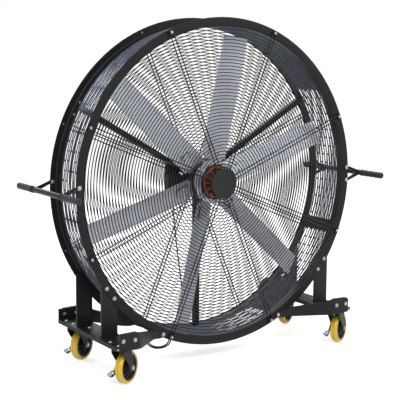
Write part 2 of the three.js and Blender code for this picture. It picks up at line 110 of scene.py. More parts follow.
def oblong(low: Sequence[float], high: Sequence[float]) -> Array:
    """The four corners of a rectangle between two of them, once round."""
    (x1, y1), (x2, y2) = low, high
    return np.array([[x1, y1], [x2, y1], [x2, y2], [x1, y2]])


def ribbed(first: float, last: float, pitch: float, radius: float, slope: float, depth: float) -> Array:
    """(radius, height) rows of a cone on which every second row lies deeper.

    Args:
        first: Height of the first row.
        last: Height before which the rows end.
        pitch: Height between rows.
        radius: Radius at the first row.
        slope: Growth of the radius per height.
        depth: How much deeper every second row lies.

    Returns:
        The rows.
    """
    height = np.arange(first, last, pitch)
    return np.stack([radius + slope * (height - first) - depth * (np.arange(len(height)) % 2), height], -1)


def rounded(outline: Array, radius: float, steps: int = 4, closed: bool = True) -> Array:
    """Rounds the corners of an outline.

    Each corner c becomes the parabola (1-t)^2 a + 2 t (1-t) c + t^2 b, where a and b lie at the radius from
    c on the lines to its neighbours, or half-way along them if they are shorter.

    Args:
        outline: Corners, one row each.
        radius: How far from a corner the rounding starts.
        steps: Pieces of each rounded corner.
        closed: Round the first and the last corner too.

    Returns:
        The rounded outline.
    """
    before, after = np.roll(outline, 1, 0) - outline, np.roll(outline, -1, 0) - outline
    reach = [np.minimum(radius, 0.499 * np.linalg.norm(v, axis=1))[:, None] for v in (before, after)]
    a, b = outline + unit(before) * reach[0], outline + unit(after) * reach[1]
    t = np.linspace(0, 1, steps + 1)[None, :, None]
    curve = (1 - t) ** 2 * a[:, None] + 2 * t * (1 - t) * outline[:, None] + t**2 * b[:, None]
    if closed:
        return curve.reshape(-1, outline.shape[1])
    return np.concatenate([outline[:1], curve[1:-1].reshape(-1, outline.shape[1]), outline[-1:]])


def round_y(degrees: float) -> Matrix:
    """Turn about the drum's axis that lifts +X by an angle, seen from the front."""
    shift = Matrix.Translation(Vector(AXIS))
    return shift @ Matrix.Rotation(math.radians(-degrees), 4, "Y") @ shift.inverted()


def spoke(degrees: Array) -> Array:
    """Directions away from the drum's axis: (cos t, 0, sin t)."""
    t = np.radians(degrees)
    return np.stack([np.cos(t), np.zeros_like(t), np.sin(t)], -1)


def ring_places(radius: float, y: float | Array, degrees: Array) -> Array:
    """Places on a circle about the drum's axis."""
    return AXIS + radius * spoke(degrees) + y * Y


def smooth_route(points: Array, samples: int) -> Array:
    """Centripetal Catmull-Rom curve through points.

    Knots are the square root of a distance apart. Between the second and third of four points the curve is
    three rounds of straight mixing, each by the share of the parameter between two knots.

    Args:
        points: The places passed, one row each.
        samples: Steps between two of them.

    Returns:
        The curve's places, one row each.
    """
    whole = np.concatenate([[2 * points[0] - points[1]], points, [2 * points[-1] - points[-2]]])
    knots = np.concatenate([[0.0], np.cumsum(np.sqrt(np.linalg.norm(np.diff(whole, axis=0), axis=1)))])
    p = [whole[k : len(whole) - 3 + k][:, None] for k in range(4)]
    t = [knots[k : len(whole) - 3 + k][:, None, None] for k in range(4)]
    u = t[1] + (t[2] - t[1]) * (np.arange(samples) / samples)[None, :, None]

    def mix(a: Array, b: Array, start: Array, end: Array) -> Array:
        """The two mixed by how far the parameter is from start to end."""
        return ((end - u) * a + (u - start) * b) / (end - start)

    first = [mix(p[k], p[k + 1], t[k], t[k + 1]) for k in range(3)]
    second = [mix(first[k], first[k + 1], t[k], t[k + 2]) for k in range(2)]
    return np.concatenate([mix(second[0], second[1], t[1], t[2]).reshape(-1, 3), points[-1:]])


def smooth(mesh: bpy.types.Mesh, sharp: float = SHARP) -> bpy.types.Mesh:
    """Shades a mesh smooth.

    Args:
        mesh: The mesh.
        sharp: Edges that turn by more than this many degrees stay sharp.

    Returns:
        The same mesh.
    """
    mesh.shade_smooth()
    mesh.set_sharp_from_angle(angle=math.radians(sharp))
    return mesh


class Surface:
    """Closed shapes of one piece, gathered as arrays before they become a mesh."""

    def __init__(self) -> None:
        """Starts with nothing."""
        self.points: list[Array] = []
        self.faces: list[Array] = []
        self.corners: list[Array] = []
        self.count = 0

    def add(self, points: Array, faces: Sequence[Array], corners: Sequence[Array] | None = None) -> "Surface":
        """Adds a closed shape and turns its faces outwards.

        The volume under a face is a sixth of the triple product of its corners, summed over the shape.

        Args:
            points: Places, one row each.
            faces: Arrays of point numbers, one row per face; each array has its own number of corners.
            corners: UV of every face corner, or zero if left out.

        Returns:
            This surface.
        """
        if corners is None:
            corners = [np.zeros((*face.shape, 2)) for face in faces]
        fans = [(points[f[:, :1]], points[f[:, 1:-1]], points[f[:, 2:]]) for f in faces]
        step = 1 if sum(float(np.sum(a * np.cross(b, c))) for a, b, c in fans) > 0 else -1
        self.points.append(points)
        self.faces.extend(face[:, ::step] + self.count for face in faces)
        self.corners.extend(corner[:, ::step] for corner in corners)
        self.count += len(points)
        return self

    def join(self, other: "Surface") -> "Surface":
        """Adds another surface's shapes."""
        return self.add(np.concatenate(other.points), other.faces, other.corners)

    def mesh(self, name: str, sharp: float = SHARP) -> bpy.types.Mesh:
        """Puts the arrays into a smooth-shaded mesh with a UV map.

        Args:
            name: The mesh's name.
            sharp: Edges that turn by more than this many degrees stay sharp.

        Returns:
            The mesh.
        """
        mesh = bpy.data.meshes.new(name)
        sizes = np.concatenate([np.full(len(face), face.shape[1]) for face in self.faces])
        loops = np.concatenate([face.ravel() for face in self.faces])
        uv = np.concatenate([corner.reshape(-1, 2) for corner in self.corners])
        mesh.vertices.add(self.count)
        mesh.vertices.foreach_set("co", np.concatenate(self.points).astype(np.float32).ravel())
        mesh.loops.add(len(loops))
        mesh.loops.foreach_set("vertex_index", loops.astype(np.int32))
        mesh.polygons.add(len(sizes))
        mesh.polygons.foreach_set("loop_start", (np.cumsum(sizes) - sizes).astype(np.int32))
        mesh.update(calc_edges=True)
        mesh.uv_layers.new(name="UVMap").uv.foreach_set("vector", uv.astype(np.float32).ravel())
        mesh.validate()
        return smooth(mesh, sharp)

    def grid(self, points: Array, wrap: tuple[bool, bool], caps: bool = False) -> "Surface":
        """Adds a grid of quads, whose UV is the distance along the rows and along the columns in metres.

        Args:
            points: Places, shaped (rows, columns, 3), each a function of its row and column.
            wrap: Whether the rows and the columns join up with the first ones.
            caps: Close the first and the last row with a flat face each.

        Returns:
            This surface.
        """
        rows, columns = points.shape[:2]
        i, j = np.meshgrid(np.arange(rows - (not wrap[0])), np.arange(columns - (not wrap[1])), indexing="ij")
        ring = np.stack([[i, j], [i + 1, j], [i + 1, j + 1], [i, j + 1]], -1)
        quads = (ring[0] % rows) * columns + ring[1] % columns
        steps = [np.linalg.norm(np.roll(points, -1, a) - points, axis=-1).mean(1 - a) for a in (0, 1)]
        along = [np.concatenate([[0.0], np.cumsum(step)]) for step in steps]
        uv = np.stack([along[0][ring[0]], along[1][ring[1]]], -1)
        faces, corners = [quads.reshape(-1, 4)], [uv.reshape(-1, 4, 2)]
        if caps:
            ends = np.arange(columns)
            faces.append(np.stack([ends[::-1], ends + (rows - 1) * columns]))
            corners.append(np.zeros((2, columns, 2)))
        return self.add(points.reshape(-1, 3), faces, corners)

    def turned(self, profile: Array, origin: Array, axis: Array, segments: int) -> "Surface":
        """Adds a solid of revolution.

        A point (r, h) of the profile goes to origin + h axis + r (cos t across + sin t up), for t once round.

        Args:
            profile: Closed outline as (radius, height) rows; it may start and end on the axis.
            origin: Where height and radius are zero.
            axis: Direction of height.
            segments: Steps round the axis.

        Returns:
            This surface.
        """
        axis = unit(axis)
        spokes = disc(1.0, segments) @ np.stack(across(axis))
        poled = profile[0, 0] < 1e-9 and profile[-1, 0] < 1e-9
        body = profile[1:-1] if poled else profile
        points = origin + body[:, 1, None, None] * axis + body[:, 0, None, None] * spokes
        if not poled:
            return self.grid(points, (True, True))
        here = np.arange(len(body) * segments).reshape(-1, segments)
        after = np.roll(here, -1, axis=1)
        poles = np.full((segments, 2), here.size) + np.arange(2)
        faces = [
            np.stack([here[:-1], here[1:], after[1:], after[:-1]], -1).reshape(-1, 4),
            np.stack([poles[:, 0], here[0], after[0]], -1), np.stack([poles[:, 1], after[-1], here[-1]], -1),
        ]
        ends = origin + profile[[0, -1], 1, None] * axis
        return self.add(np.concatenate([points.reshape(-1, 3), ends]), faces)

    def swept(self, path: Array, section: Array, side: Array, closed: bool = False) -> "Surface":
        """Adds a section carried along a path.

        A point (a, b) of the section goes to path + a side + b (tangent x side), where side is first made
        square to the tangent.

        Args:
            path: Places that the section's origin passes, one row each.
            section: Closed outline, one (a, b) row per point.
            side: The direction of a.
            closed: The path ends where it starts.

        Returns:
            This surface.
        """
        ahead = np.roll(path, -1, 0) - np.roll(path, 1, 0)
        if not closed:
            ahead[0], ahead[-1] = path[1] - path[0], path[-1] - path[-2]
        tangent = unit(ahead)
        side = unit(side - np.sum(side * tangent, -1, keepdims=True) * tangent)
        other = np.cross(tangent, side)
        points = path[:, None] + section[None, :, :1] * side[:, None] + section[None, :, 1:] * other[:, None]
        return self.grid(points, (closed, True), caps=not closed)

    def prism(self, outline: Array, low: float, high: float, axis: str) -> "Surface":
        """Adds a flat outline drawn square to an axis and given a thickness along it.

        Args:
            outline: Closed outline, one row per point, in the order of the two other axes.
            low: Where it starts along the axis.
            high: Where it ends.
            axis: "x", "y" or "z".

        Returns:
            This surface.
        """
        number = "xyz".index(axis)
        points = np.insert(np.stack([outline, outline]), number, 0.0, axis=-1)
        points[0, :, number], points[1, :, number] = low, high
        return self.grid(points, (False, True), caps=True)

    def box(self, low: Sequence[float], high: Sequence[float]) -> "Surface":
        """Adds a box between two corners."""
        low, high = np.minimum(low, high), np.maximum(low, high)
        return self.prism(oblong(low[:2], high[:2]), low[2], high[2], "z")

    def copies(self, other: "Surface", places: Array, out: Array, aside: Array | None = None) -> "Surface":
        """Adds another surface once at every place, its own Z turned to the direction given there.

        Args:
            other: The shape, round its own origin.
            places: One row per copy.
            out: Where each copy's Z points, one row per copy or one for all.
            aside: Where each copy's X points, square to out; any way round if left out.

        Returns:
            This surface.
        """
        out = unit(np.broadcast_to(out, places.shape).astype(float))
        side, up = across(out)
        if aside is not None:
            side = np.broadcast_to(aside, places.shape)
            up = np.cross(out, side)
        shape = np.concatenate(other.points)
        turned = sum(shape[None, :, k, None] * way[:, None] for k, way in enumerate((side, up, out)))
        offset = self.count + np.arange(len(places))[:, None, None] * len(shape)
        self.points.append((places[:, None] + turned).reshape(-1, 3))
        self.faces.extend((face[None] + offset).reshape(-1, face.shape[1]) for face in other.faces)
        self.corners.extend(np.tile(corner, (len(places), 1, 1)) for corner in other.corners)
        self.count += len(places) * len(shape)
        return self

    def moved(self, matrix: Matrix) -> "Surface":
        """A copy of this surface that is turned and shifted.

        Args:
            matrix: The rigid move.

        Returns:
            The copy.
        """
        table = np.array(matrix)
        result = Surface()
        result.points = [points @ table[:3, :3].T + table[:3, 3] for points in self.points]
        result.faces, result.corners, result.count = self.faces, self.corners, self.count
        return result


# ---- shader wiring -------------------------------------------------------------------------------


class Wire:
    """A number that varies in a shader. Python's operators on it add Math nodes."""

    def __init__(self, recipe: "Recipe", socket: bpy.types.NodeSocket) -> None:
        """Wraps the output socket that the number comes from."""
        self.recipe, self.socket = recipe, socket

    def _math(self, operation: str, *values: "Wire | float") -> "Wire":
        """Result of a Math node with these inputs."""
        node = self.recipe.node("ShaderNodeMath", {"operation": operation}, dict(enumerate(values)))
        return Wire(self.recipe, node.outputs[0])

    def __add__(self, other: "Wire | float") -> "Wire":
        """Sum."""
        return self._math("ADD", self, other)

    __radd__ = __add__

    def __sub__(self, other: float) -> "Wire":
        """Difference."""
        return self._math("SUBTRACT", self, other)

    def __rsub__(self, other: float) -> "Wire":
        """Number minus this."""
        return self._math("SUBTRACT", other, self)

    def __mul__(self, other: "Wire | float") -> "Wire":
        """Product."""
        return self._math("MULTIPLY", self, other)

    def root(self) -> "Wire":
        """Square root."""
        return self._math("SQRT", self)

    def band(self, low: float, high: float) -> "Wire":
        """A smooth step.

        Args:
            low: The result is 0 below this.
            high: The result is 1 above this.

        Returns:
            A number from 0 to 1.
        """
        settings = {"interpolation_type": "SMOOTHSTEP", "clamp": True}
        node = self.recipe.node("ShaderNodeMapRange", settings, {0: self, 1: low, 2: high})
        return Wire(self.recipe, node.outputs[0])


class Where(Enum):
    """The coordinates that a pattern lies in."""

    OBJECT = "Object"
    SURFACE = "UV"


class Recipe:
    """A material while it is made."""

    def __init__(self, name: str, world: bpy.types.World | None = None) -> None:
        """Starts a material with one surface shader, or an empty tree for a world.

        Args:
            name: The material's name.
            world: The world to wire up in place of a material.
        """
        self.material = world or bpy.data.materials.new(name)
        self.material.use_nodes = True
        self.tree = self.material.node_tree
        self.tree.nodes.clear()
        if world is None:
            self.shader = self.node("ShaderNodeBsdfPrincipled")
            self.node("ShaderNodeOutputMaterial", {}, {"Surface": self.shader.outputs[0]})

    def node(self, kind: str, settings: dict | None = None, inputs: dict | None = None) -> bpy.types.Node:
        """Adds a node.

        Args:
            kind: The node's type.
            settings: Its own properties, set before the sockets.
            inputs: Socket name or number to a value, a socket or a Wire.

        Returns:
            The node.
        """
        node = self.tree.nodes.new(kind)
        for key, value in (settings or {}).items():
            setattr(node, key, value)
        self.feed(node, inputs or {})
        return node

    def feed(self, node: bpy.types.Node, inputs: dict) -> None:
        """Sets or links a node's inputs.

        Args:
            node: The node.
            inputs: Socket name or number to a value, a socket or a Wire.
        """
        for key, value in inputs.items():
            source = value.socket if isinstance(value, Wire) else value
            if isinstance(source, bpy.types.NodeSocket):
                self.tree.links.new(source, node.inputs[key])
            else:
                node.inputs[key].default_value = source

    def surface(self, **inputs: object) -> None:
        """Sets or links the surface shader's inputs, with underscores for the spaces in their names."""
        self.feed(self.shader, {key.replace("_", " "): value for key, value in inputs.items()})

    def place(self, where: Where = Where.OBJECT) -> bpy.types.NodeSocket:
        """Coordinates on the piece."""
        return self.node("ShaderNodeTexCoord").outputs[where.value]

    def parts(self, where: Where = Where.OBJECT) -> list[Wire]:
        """The coordinates' three numbers."""
        node = self.node("ShaderNodeSeparateXYZ", {}, {0: self.place(where)})
        return [Wire(self, output) for output in node.outputs]

    def noise(self, scale: float, detail: float = 2.0, source: bpy.types.NodeSocket | None = None,
              stretch: Point = (1.0, 1.0, 1.0)) -> Wire:
        """A number from 0 to 1 that varies like clouds.

        Args:
            scale: Clouds per metre.
            detail: Layers of finer clouds.
            source: Coordinates to use in place of the piece's own.
            stretch: Factor on the scale along each axis.

        Returns:
            The number.
        """
        mapping = self.node("ShaderNodeMapping", {}, {"Vector": source or self.place(), "Scale": stretch})
        inputs = {"Vector": mapping.outputs[0], "Scale": scale, "Detail": detail}
        return Wire(self, self.node("ShaderNodeTexNoise", {}, inputs).outputs[0])

    def blend(self, factor: Wire, low: "Colour | bpy.types.NodeSocket",
              high: "Colour | bpy.types.NodeSocket") -> bpy.types.NodeSocket:
        """Colour that goes from low to high as factor goes from 0 to 1."""
        ends = {key: (*c, 1.0) if isinstance(c, tuple) else c for key, c in ((6, low), (7, high))}
        return self.node("ShaderNodeMix", {"data_type": "RGBA"}, {0: factor, **ends}).outputs[2]

    def seen_plainly(self) -> Wire:
        """Tells the rays that see a surface from the rays that only carry its light.

        Returns:
            1 for rays from the camera, a mirror or glass, and 0 for the others.
        """
        path = self.node("ShaderNodeLightPath")
        names = ("Is Camera Ray", "Is Glossy Ray", "Is Transmission Ray")
        rays = [Wire(self, path.outputs[name]) for name in names]
        return rays[0] + rays[1] + rays[2]

    def bumps(self, height: Wire, depth: float, strength: float) -> None:
        """Raises the surface by a height from 0 to 1 times a depth in metres."""
        node = self.node("ShaderNodeBump", {}, {"Height": height, "Distance": depth, "Strength": strength})
        self.surface(Normal=node.outputs[0])


def around(middle: float, *swings: tuple[Wire, float]) -> Wire:
    """A middle value that each pattern moves by its distance from a half, times its swing."""
    return sum(((pattern - 0.5) * swing for pattern, swing in swings), middle)


# ---- finishes ------------------------------------------------------------------------------------


@dataclass(frozen=True)
class Finish:
    """What every finish has: its name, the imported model's slot that it is for, its colour and roughness."""

    name: str
    slot: str
    colour: Colour
    roughness: float

    def tint(self, factor: float, lift: float = 0.0) -> Colour:
        """The colour times a factor, with a little grey added."""
        return tuple(c * factor + lift for c in self.colour)

    def mix(self, recipe: Recipe) -> None:
        """Wires the finish's surface shader."""
        raise NotImplementedError


@dataclass(frozen=True)
class PowderCoat(Finish):
    """Baked paint with a fine orange-peel skin and a little dust."""

    peel: float = 0.00006
    dust: float = 0.25
    gloss: float = 0.5
    metallic: float = 0.0

    def mix(self, recipe: Recipe) -> None:
        """Dust lies in broad clouds with finer ones in them.

        Args:
            recipe: The material while it is made.
        """
        cloud, fine = recipe.noise(7.0, 4.0), recipe.noise(55.0, 3.0)
        amount = (cloud.band(0.42, 0.75) * 0.7 + fine.band(0.5, 0.8) * 0.3) * self.dust
        recipe.surface(
            Base_Color=recipe.blend(amount, self.colour, self.tint(1.5, 0.006)), Metallic=self.metallic,
            Roughness=around(self.roughness, (cloud, 0.16), (fine, 0.06)), Specular_IOR_Level=self.gloss,
        )
        recipe.bumps(recipe.noise(420.0), self.peel, 0.6)


@dataclass(frozen=True)
class DrawnAluminium(Finish):
    """Extruded aluminium with draw lines along the piece and fine wear across them."""

    def mix(self, recipe: Recipe) -> None:
        """The lines follow the piece's UV, which runs along it in U and across it in V.

        Args:
            recipe: The material while it is made.
        """
        uv = recipe.place(Where.SURFACE)
        lines = recipe.noise(1.0, 3.0, uv, (6.0, 900.0, 1.0))
        broad = recipe.noise(1.0, 3.0, uv, (2.5, 60.0, 1.0))
        cloud = recipe.noise(9.0, 4.0)
        recipe.surface(
            Base_Color=recipe.blend(lines * 0.35 + broad * 0.35 + cloud * 0.3, self.tint(0.78), self.colour),
            Roughness=around(self.roughness, (lines, 0.14), (cloud, 0.22)), Metallic=1.0,
        )
        recipe.bumps(lines, 0.00002, 0.3)


@dataclass(frozen=True)
class LatheTurned(Finish):
    """Metal or paint turned about the drum's axis, with fine tool rings."""

    metallic: float = 1.0
    pitch: float = 1400.0

    def mix(self, recipe: Recipe) -> None:
        """The rings follow the distance from the axis, the root of x^2 + z^2.

        Args:
            recipe: The material while it is made.
        """
        x, _, height = recipe.parts()
        z = height - float(AXIS[2])
        line = recipe.node("ShaderNodeCombineXYZ", {}, {0: (x * x + z * z).root()}).outputs[0]
        rings, cloud = recipe.noise(self.pitch, 2.0, line), recipe.noise(16.0, 4.0)
        recipe.surface(
            Base_Color=recipe.blend(rings * 0.5 + cloud * 0.5, self.tint(0.8), self.colour),
            Roughness=around(self.roughness, (rings, 0.16), (cloud, 0.14)), Metallic=self.metallic,
        )
        recipe.bumps(rings, 0.00003, 0.6)


@dataclass(frozen=True)
class ZincPlate(Finish):
    """Bright zinc plating with the mottle of small crystals."""

    def mix(self, recipe: Recipe) -> None:
        """The mottle is the distance to the middle of the nearest cell.

        Args:
            recipe: The material while it is made.
        """
        cells = recipe.node("ShaderNodeTexVoronoi", {}, {"Vector": recipe.place(), "Scale": 260.0})
        mottle, cloud = Wire(recipe, cells.outputs["Distance"]), recipe.noise(70.0, 4.0)
        recipe.surface(
            Base_Color=recipe.blend(mottle * 0.5 + cloud * 0.5, self.colour, self.tint(0.62)),
            Roughness=around(self.roughness, (cloud, 0.3)), Metallic=0.95,
        )
        recipe.bumps(recipe.noise(500.0), 0.00003, 0.5)


@dataclass(frozen=True)
class Moulding(Finish):
    """Moulded plastic or rubber with a fine spark-eroded grain."""

    grain: float = 0.00008
    scale: float = 900.0
    gloss: float = 0.25

    def mix(self, recipe: Recipe) -> None:
        """The grain's height also makes the colour a little paler.

        Args:
            recipe: The material while it is made.
        """
        cloud, fine = recipe.noise(22.0, 4.0), recipe.noise(self.scale, 3.0)
        recipe.surface(
            Base_Color=recipe.blend(cloud * 0.6 + fine * 0.25, self.colour, self.tint(1.3, 0.008)),
            Roughness=around(self.roughness, (cloud, 0.2), (fine, 0.1)), Specular_IOR_Level=self.gloss,
        )
        recipe.bumps(fine, self.grain, 0.5)


@dataclass(frozen=True)
class CastTread(Finish):
    """Cast polyurethane tyre: a glossy yellow crown, painted shade in amber on its shoulders, and a scuffed
    middle line.
    """

    shoulder_shade: Colour
    line: Colour

    def mix(self, recipe: Recipe) -> None:
        """U is 0 in the middle of the tread and 1 at its shoulders.

        Args:
            recipe: The material while it is made.
        """
        spread = recipe.parts(Where.SURFACE)[0]
        scuff, cloud = recipe.noise(160.0, 4.0), recipe.noise(30.0, 3.0)
        middle = (1.0 - spread.band(0.05, 0.13)) * (0.6 + scuff.band(0.25, 0.6) * 0.35)
        worn = (1.0 - spread.band(0.3, 0.5)) * scuff.band(0.52, 0.75) * 0.4
        # Painted shade: the colour turns amber towards the shoulders, where the rounded tyre turns away from
        # the light.
        sides = recipe.blend(spread.band(0.62, 0.95) * (0.7 + cloud * 0.3), self.colour, self.shoulder_shade)
        recipe.surface(
            Base_Color=recipe.blend(middle + worn, sides, self.line), Coat_Weight=0.08,
            Roughness=self.roughness + cloud * 0.14 + middle * 0.3 + worn * 0.3,
        )
        recipe.bumps(scuff, 0.00006, 0.4)


PAINT = PowderCoat("black_powder_coat", "black_paint", (0.0068, 0.0069, 0.0076), 0.45, gloss=0.17)
BASE_PAINT = PowderCoat("base_powder_coat", "black_paint", (0.0078, 0.0079, 0.0085), 0.5, dust=0.3, gloss=0.2)
DECK_PAINT = PowderCoat("deck_coat", "black_paint", (0.0080, 0.0088, 0.0115), 0.5, 0.00002, 0.12, 0.16)
# The strands' own paint is black, like the bridges; this lighter, bluish colour is a painted sheen standing
# in for the sky reflected by the leaning strands.
MESH_SHEEN_PAINT = PowderCoat("expanded_metal_painted_sheen", "black_paint", (0.058, 0.068, 0.094), 0.29,
                        dust=0.3, gloss=0.75, metallic=0.5)
WIRE_PAINT = PowderCoat("wire_coat", "black_paint", (0.0075, 0.008, 0.0105), 0.4, dust=0.15, gloss=0.26)
DISC_PAINT = PowderCoat("disc_coat", "disc_face", (0.0145, 0.0145, 0.015), 0.6, dust=0.15, gloss=0.18)
BAR_PAINT = PowderCoat("bar_coat", "black_paint", (0.0085, 0.0095, 0.0125), 0.42, dust=0.12, gloss=0.15)
BLADE = DrawnAluminium("blade_aluminium", "blade_metal", (0.455, 0.475, 0.52), 0.38)
HUB = LatheTurned("turned_hub", "hub_metal", (0.44, 0.455, 0.49), 0.34)
ORANGE = LatheTurned("orange_cover_paint", "orange_paint", (0.62, 0.105, 0.012), 0.42, 0.2, 300.0)
WINDING = LatheTurned("winding_varnish", "winding_steel", (0.30, 0.12, 0.05), 0.35, 0.6, 900.0)
ZINC = ZincPlate("zinc_fastener", "zinc_steel", (0.40, 0.405, 0.41), 0.34)
DARK_ZINC = ZincPlate("race_zinc", "zinc_steel", (0.36, 0.37, 0.39), 0.36)
PEDAL_ZINC = ZincPlate("pedal_zinc", "zinc_steel", (0.36, 0.39, 0.46), 0.42)
PLASTIC = Moulding("black_plastic", "black_plastic", (0.013, 0.013, 0.014), 0.45)
CORE = Moulding("wheel_core_plastic", "core_plastic", (0.012, 0.012, 0.013), 0.4)
GRIP = Moulding("grip_rubber", "grip_rubber", (0.0215, 0.0235, 0.0305), 0.55, 0.00002, 600.0, 0.18)
LEAD = Moulding("lead_rubber", "lead_rubber", (0.014, 0.014, 0.015), 0.42, 0.00003, 1500.0)
# The amber second colour is painted shade for the tyre's shoulders; the third is the scuffed middle line.
TREAD = CastTread("yellow_polyurethane", "yellow_tread", (0.68, 0.44, 0.006), 0.24, (0.64, 0.37, 0.006),
                  (0.34, 0.20, 0.11))


@cache
def material(finish: Finish) -> bpy.types.Material:
    """The finish's material, made the first time that it is asked for.

    Args:
        finish: The finish.

    Returns:
        Its material.
    """
    recipe = Recipe(finish.name)
    finish.mix(recipe)
    return recipe.material


# ---- putting pieces in the scene -----------------------------------------------------------------


def placed(name: str, data: bpy.types.ID) -> bpy.types.Object:
    """Puts a new object in the scene.

    Args:
        name: Its name.
        data: Its mesh, curve, light or camera.

    Returns:
        The object.
    """
    obj = bpy.data.objects.new(name, data)
    bpy.context.scene.collection.objects.link(obj)
    return obj


def show(name: str, surface: Surface | bpy.types.Mesh, finish: Finish, node: str = "", body: str = "frame",
         bevel: float = 0.0, sharp: float = SHARP, segments: int = 2) -> bpy.types.Object:
    """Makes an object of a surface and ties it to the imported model.

    Args:
        name: The piece's name.
        surface: Its shape.
        finish: Its finish, which has its slot.
        node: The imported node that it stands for, if it does.
        body: The body that it rides on.
        bevel: Width of the rounded edges that a modifier gives it, or 0 for none.
        sharp: Degrees past which an edge stays sharp.
        segments: Steps of a rounded edge.

    Returns:
        The object.
    """
    mesh = surface.mesh(name, sharp) if isinstance(surface, Surface) else surface
    mesh.materials.append(material(finish))
    obj = placed(name, mesh)
    if bevel:
        modifier = obj.modifiers.new("edges", "BEVEL")
        modifier.width, modifier.segments, modifier.harden_normals = bevel, segments, True
        modifier.limit_method, modifier.angle_limit = "ANGLE", math.radians(BEVELLED)
    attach(obj, body)
    if node:
        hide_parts(node)
    LOG.info("%s: %d faces on %s", name, len(mesh.polygons), body)
    return obj


def repaint(finish: Finish, *nodes: str) -> None:
    """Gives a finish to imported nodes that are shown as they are.

    Args:
        finish: The finish.
        nodes: The nodes.
    """
    for node in nodes:
        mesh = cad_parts[node].data
        mesh.materials.clear()
        mesh.materials.append(material(finish))
        LOG.info("%s: kept, with %s", node, finish.name)


def carved(name: str, block: Surface, cutter: Surface) -> bpy.types.Mesh:
    """Takes a cutter's shape out of a block.

    Args:
        name: The new mesh's name.
        block: What is cut.
        cutter: What is taken away.

    Returns:
        The mesh that is left.
    """
    objects = [placed(f"{name}_{part}", shape.mesh(name)) for part, shape in (("a", block), ("b", cutter))]
    modifier = objects[0].modifiers.new("cut", "BOOLEAN")
    modifier.object, modifier.operation, modifier.solver = objects[1], "DIFFERENCE", "EXACT"
    mesh = bpy.data.meshes.new_from_object(objects[0].evaluated_get(bpy.context.evaluated_depsgraph_get()))
    mesh.name = name
    for obj in objects:
        bpy.data.objects.remove(obj)
    return smooth(mesh)


class Head(Enum):
    """Shapes of bolt head: sides, and the outline in parts of the radius and the height."""

    HEX = 6, ((0, 0), (1, 0), (1, 0.82), (0.84, 1), (0.5, 0.93), (0, 0.93))
    DOME = 16, ((0, 0), (1, 0), (0.97, 0.35), (0.78, 0.75), (0.4, 0.97), (0, 1))


def fastener(head: Head, size: float, height: float, washer: float = 0.0) -> Surface:
    """A bolt head that stands on its origin and points along Z.

    Args:
        head: Its shape.
        size: Radius of the head in millimetres, across the corners.
        height: Height of the head in millimetres.
        washer: Radius of the washer under it in millimetres, or 0 for none.

    Returns:
        The closed shapes.
    """
    result, base, plate = Surface(), np.zeros(3), 0.0
    if washer:
        plate = 0.0018
        edge = [[0, -SINK], [1, -SINK], [1, plate * 0.8], [0.93, plate], [0, plate]]
        result.turned(np.array(edge) * [washer * MM, 1.0], base, Z, 16)
    sides, outline = head.value
    return result.turned(np.array(outline) * mm(size, height) + [0.0, plate - SINK], base, Z, sides)


# ---- studio --------------------------------------------------------------------------------------


@dataclass(frozen=True)
class Studio:
    """Camera, floor and soft light."""

    place: Point = (-2.7898, -4.1521, 1.4801)
    yaw: float = -33.471
    pitch: float = -8.4245
    roll: float = 0.2416
    lens: float = 96.007
    sky: float = 0.55
    glow: float = 0.58

    def camera(self) -> None:
        """Puts the camera where the photograph was taken from."""
        camera = bpy.data.cameras.new("camera")
        camera.lens, camera.sensor_width = self.lens, 36.0
        camera.clip_start, camera.clip_end = 0.1, 100.0
        obj = placed("camera", camera)
        turns = ((self.yaw, "Z"), (90 + self.pitch, "X"), (self.roll, "Z"))
        yaw, pitch, roll = (Matrix.Rotation(math.radians(angle), 4, axis) for angle, axis in turns)
        obj.matrix_world = Matrix.Translation(self.place) @ (yaw @ pitch) @ roll
        bpy.context.scene.camera = obj

    def lamp(self, name: str, place: Point, aim: Point, size: float, power: float) -> None:
        """Adds a soft square lamp.

        Args:
            name: Its name.
            place: Where it is.
            aim: Where it points.
            size: Its side.
            power: Its power in watts.
        """
        light = bpy.data.lights.new(name, "AREA")
        light.shape, light.size, light.energy = "SQUARE", size, power
        obj = placed(name, light)
        obj.location = place
        obj.rotation_euler = (Vector(aim) - Vector(place)).to_track_quat("-Z", "Y").to_euler()

    def world(self) -> None:
        """Even pale light from all round, plain white where the camera sees it."""
        world = bpy.data.worlds.new("world")
        recipe = Recipe("sky", world)
        ends = {0: recipe.seen_plainly(), 3: self.sky, 4: 1.0}
        level = recipe.node("ShaderNodeMapRange", {"clamp": True}, ends)
        inputs = {"Color": (1.0, 1.0, 1.0, 1.0), "Strength": level.outputs[0]}
        background = recipe.node("ShaderNodeBackground", {}, inputs)
        recipe.node("ShaderNodeOutputWorld", {}, {"Surface": background.outputs[0]})
        bpy.context.scene.world = world

    def floor(self) -> None:
        """A pale floor that clips to white where nothing shades it."""
        mesh = Surface().box((-30, -30, -0.02), (30, 30, 0.0)).mesh("floor")
        recipe = Recipe("pale_floor")
        recipe.surface(
            Base_Color=(0.86, 0.86, 0.86, 1.0), Roughness=0.9, Specular_IOR_Level=0.2, Emission_Strength=1.0,
            Emission_Color=recipe.blend(recipe.seen_plainly(), (0.0,) * 3, (self.glow,) * 3),
        )
        mesh.materials.append(recipe.material)
        placed("floor", mesh)

    def build(self) -> None:
        """Makes all of it."""
        self.camera()
        self.world()
        self.floor()
        self.lamp("key", (-2.6, -4.2, 4.6), (0.0, 0.0, 0.8), 2.6, 210.0)
        self.lamp("fill", (3.3, -3.9, 3.5), (0.1, 0.0, 0.8), 3.4, 85.0)
        self.lamp("back", (1.2, 4.6, 3.6), (0.0, 0.0, 0.8), 3.0, 120.0)
        bpy.context.scene.view_settings.view_transform = "Standard"


# ---- mains lead ----------------------------------------------------------------------------------


